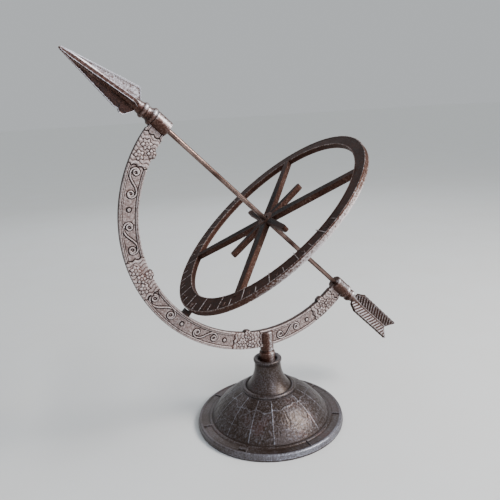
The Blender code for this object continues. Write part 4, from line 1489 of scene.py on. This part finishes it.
        # painted light and shade: the lower vane is drawn lighter, as lit, the upper one darker,
        # and the outer edges dark as painted shade
        fins = Fins(3, rim_half=1.6, panel_half=1.1, rim_width=1.1, stations=150, columns=16,
                    barb_pitch=4.7, barb_height=0.45, tones=(-0.06, 0.14, 0.0),
                    corner_tone=0.40, edge_tone=0.15)
        root = 18.0
        share = np.linspace(0, 1, fins.stations)
        edge = root + (self.tail_length - root) * share
        inner = root + (self.tail_length - 9 - root) * share
        reach = np.interp(edge, (root, root + 8, self.tail_length),
                          (self.tail_reach - 5, self.tail_reach, self.tail_reach))
        scallop = 0.35 * np.abs(np.sin(edge * math.pi / 6.6)) * (share < 0.97)
        reach = np.repeat((reach - scallop)[:, None], 3, axis=1)
        place = self.tail_place() @ Matrix.Rotation(math.radians(self.tail_roll), 4, "Z")
        rings, relief = fins.rings(reach, edge, inner, np.ones_like(edge))
        draft = Draft()
        draft.add_rings(moved(rings, place), relief=relief)
        return draft.build("arrow_tail_vanes", material, wear_and_shade=1.1, sharp=38)

    def build(self) -> None:
        iron = ARROW_IRON.material()
        declare(self.rod(), Body.ARROW, Slot.ROD_STEEL, "gnomon_rod")
        declare(self.head(iron), Body.ARROW, Slot.ARROW_IRON, "arrowhead")
        declare(self.blades(iron), Body.ARROW, Slot.ARROW_IRON)
        declare(self.tail(iron), Body.ARROW, Slot.ARROW_IRON, "arrow_tail")
        declare(self.vanes(iron), Body.ARROW, Slot.ARROW_IRON)


@dataclass
class Hardware:
    """The bolt and washers under the neck, which keep their CAD shapes."""

    nodes: tuple[str, ...] = ("stem_bolt", "stem_washer", "stem_spring_washer")

    def build(self) -> None:
        """Give the hardware its zinc finish."""
        zinc = ZINC_STEEL.material()
        for name in self.nodes:
            for slot in frame["nodes"][name].material_slots:
                slot.material = zinc
            LOG.info("%s: zinc plated", name)


# ---------------------------------------------------------------- the studio


@dataclass
class Lamp:
    """A soft rectangular light; place, size and target in metres, power in watts."""

    name: str
    place: tuple[float, float, float]
    size: tuple[float, float]
    power: float
    colour: str = "ffffff"
    target: tuple[float, float, float] = (0.0, 0.0, 0.18)

    def build(self) -> None:
        """Hang the light, facing its target."""
        data = bpy.data.lights.new(self.name, "AREA")
        data.shape = "RECTANGLE"
        data.size, data.size_y = self.size
        data.energy = self.power
        data.color = linear(self.colour)[:3]
        lamp = bpy.data.objects.new(self.name, data)
        lamp.location = self.place
        aim = Vector(self.target) - Vector(self.place)
        lamp.rotation_euler = aim.to_track_quat("-Z", "Y").to_euler()
        bpy.context.collection.objects.link(lamp)


@dataclass
class Studio:
    """Pale floor, soft light and the camera; places and sizes in metres, angles in degrees."""

    camera_place: tuple[float, float, float] = (-0.23709, -0.46925, 0.33133)
    yaw: float = 25.4705
    pitch: float = -14.6837
    roll: float = -3.2296
    focal_length: float = 38.162
    sensor_width: float = 36.0
    floor_colour: str = "cfd2d3"
    floor_mottle: str = "cbccca"
    floor_size: float = 60.0
    lamps: tuple[Lamp, ...] = (
        Lamp("key_light", (0.80, -0.75, 0.95), (0.45, 0.45), 23.0, "fff8f2"),
        Lamp("front_light", (0.05, -1.25, 0.80), (0.8, 0.6), 9.0, "e4ecff"),
        Lamp("back_light", (0.30, 1.20, 0.90), (1.4, 0.8), 4.0, "f4f7ff"),
    )
    sky_colour: str = "dde1e4"
    sky_strength: float = 0.72
    sun_strength: float = 1.15
    sun_spread: float = 20.0        # degrees
    sun_aim: tuple[float, float, float] = (-0.62, 0.42, -0.85)

    def camera(self) -> None:
        """Place the camera and make it the scene's."""
        yaw, pitch, roll = (math.radians(a) for a in (self.yaw, self.pitch, self.roll))
        ahead = Vector((math.sin(yaw) * math.cos(pitch), math.cos(yaw) * math.cos(pitch),
                        math.sin(pitch)))
        level = Vector((math.cos(yaw), -math.sin(yaw), 0.0))
        upright = level.cross(ahead)
        right = level * math.cos(roll) + upright * math.sin(roll)
        up = upright * math.cos(roll) - level * math.sin(roll)
        data = bpy.data.cameras.new("camera")
        data.sensor_width = self.sensor_width
        data.lens = self.focal_length
        data.clip_start = 0.01
        camera = bpy.data.objects.new("camera", data)
        turn = Matrix((right, up, -ahead)).transposed().to_4x4()
        camera.matrix_world = Matrix.Translation(self.camera_place) @ turn
        bpy.context.collection.objects.link(camera)
        bpy.context.scene.camera = camera

    def floor(self) -> None:
        """A plain matt floor that the foot stands on."""
        half = self.floor_size / 2
        mesh = bpy.data.meshes.new("floor")
        mesh.from_pydata([(-half, -half, 0), (half, -half, 0), (half, half, 0), (-half, half, 0)],
                         [], [(0, 1, 2, 3)])
        material, shader, place = new_material("pale_matt_floor")
        tree = material.node_tree
        mottle = add_node(tree, "ShaderNodeTexNoise", inputs={"Vector": place, "Scale": 9.0})
        tone = mixed(tree, mottle.outputs["Fac"], linear(self.floor_colour),
                     linear(self.floor_mottle))
        tree.links.new(tone, shader.inputs["Base Color"])
        shader.inputs["Roughness"].default_value = 0.85
        mesh.materials.append(material)
        floor = bpy.data.objects.new("floor", mesh)
        bpy.context.collection.objects.link(floor)

    def sky(self) -> None:
        """Even pale light from all round."""
        world = bpy.data.worlds.new("soft_room")
        world.use_nodes = True
        ground = world.node_tree.nodes["Background"]
        ground.inputs["Color"].default_value = linear(self.sky_colour)
        ground.inputs["Strength"].default_value = self.sky_strength
        bpy.context.scene.world = world

    def sun(self) -> None:
        """A wide soft sun from the right, which lights the floor evenly to its far edge."""
        data = bpy.data.lights.new("daylight", "SUN")
        data.energy = self.sun_strength
        data.angle = math.radians(self.sun_spread)
        sun = bpy.data.objects.new("daylight", data)
        sun.rotation_euler = Vector(self.sun_aim).to_track_quat("-Z", "Y").to_euler()
        bpy.context.collection.objects.link(sun)

    def build(self) -> None:
        """Set up the studio."""
        self.sky()
        self.sun()
        self.floor()
        for lamp in self.lamps:
            lamp.build()
        self.camera()


def main() -> None:
    logging.basicConfig(level=logging.INFO, format="%(name)s: %(message)s")
    Studio().build()
    dial = Dial()
    Foot().build()
    Arc().build(dial)
    dial.build()
    Arrow().build()
    Hardware().build()


if __name__ == "__main__":
    main()
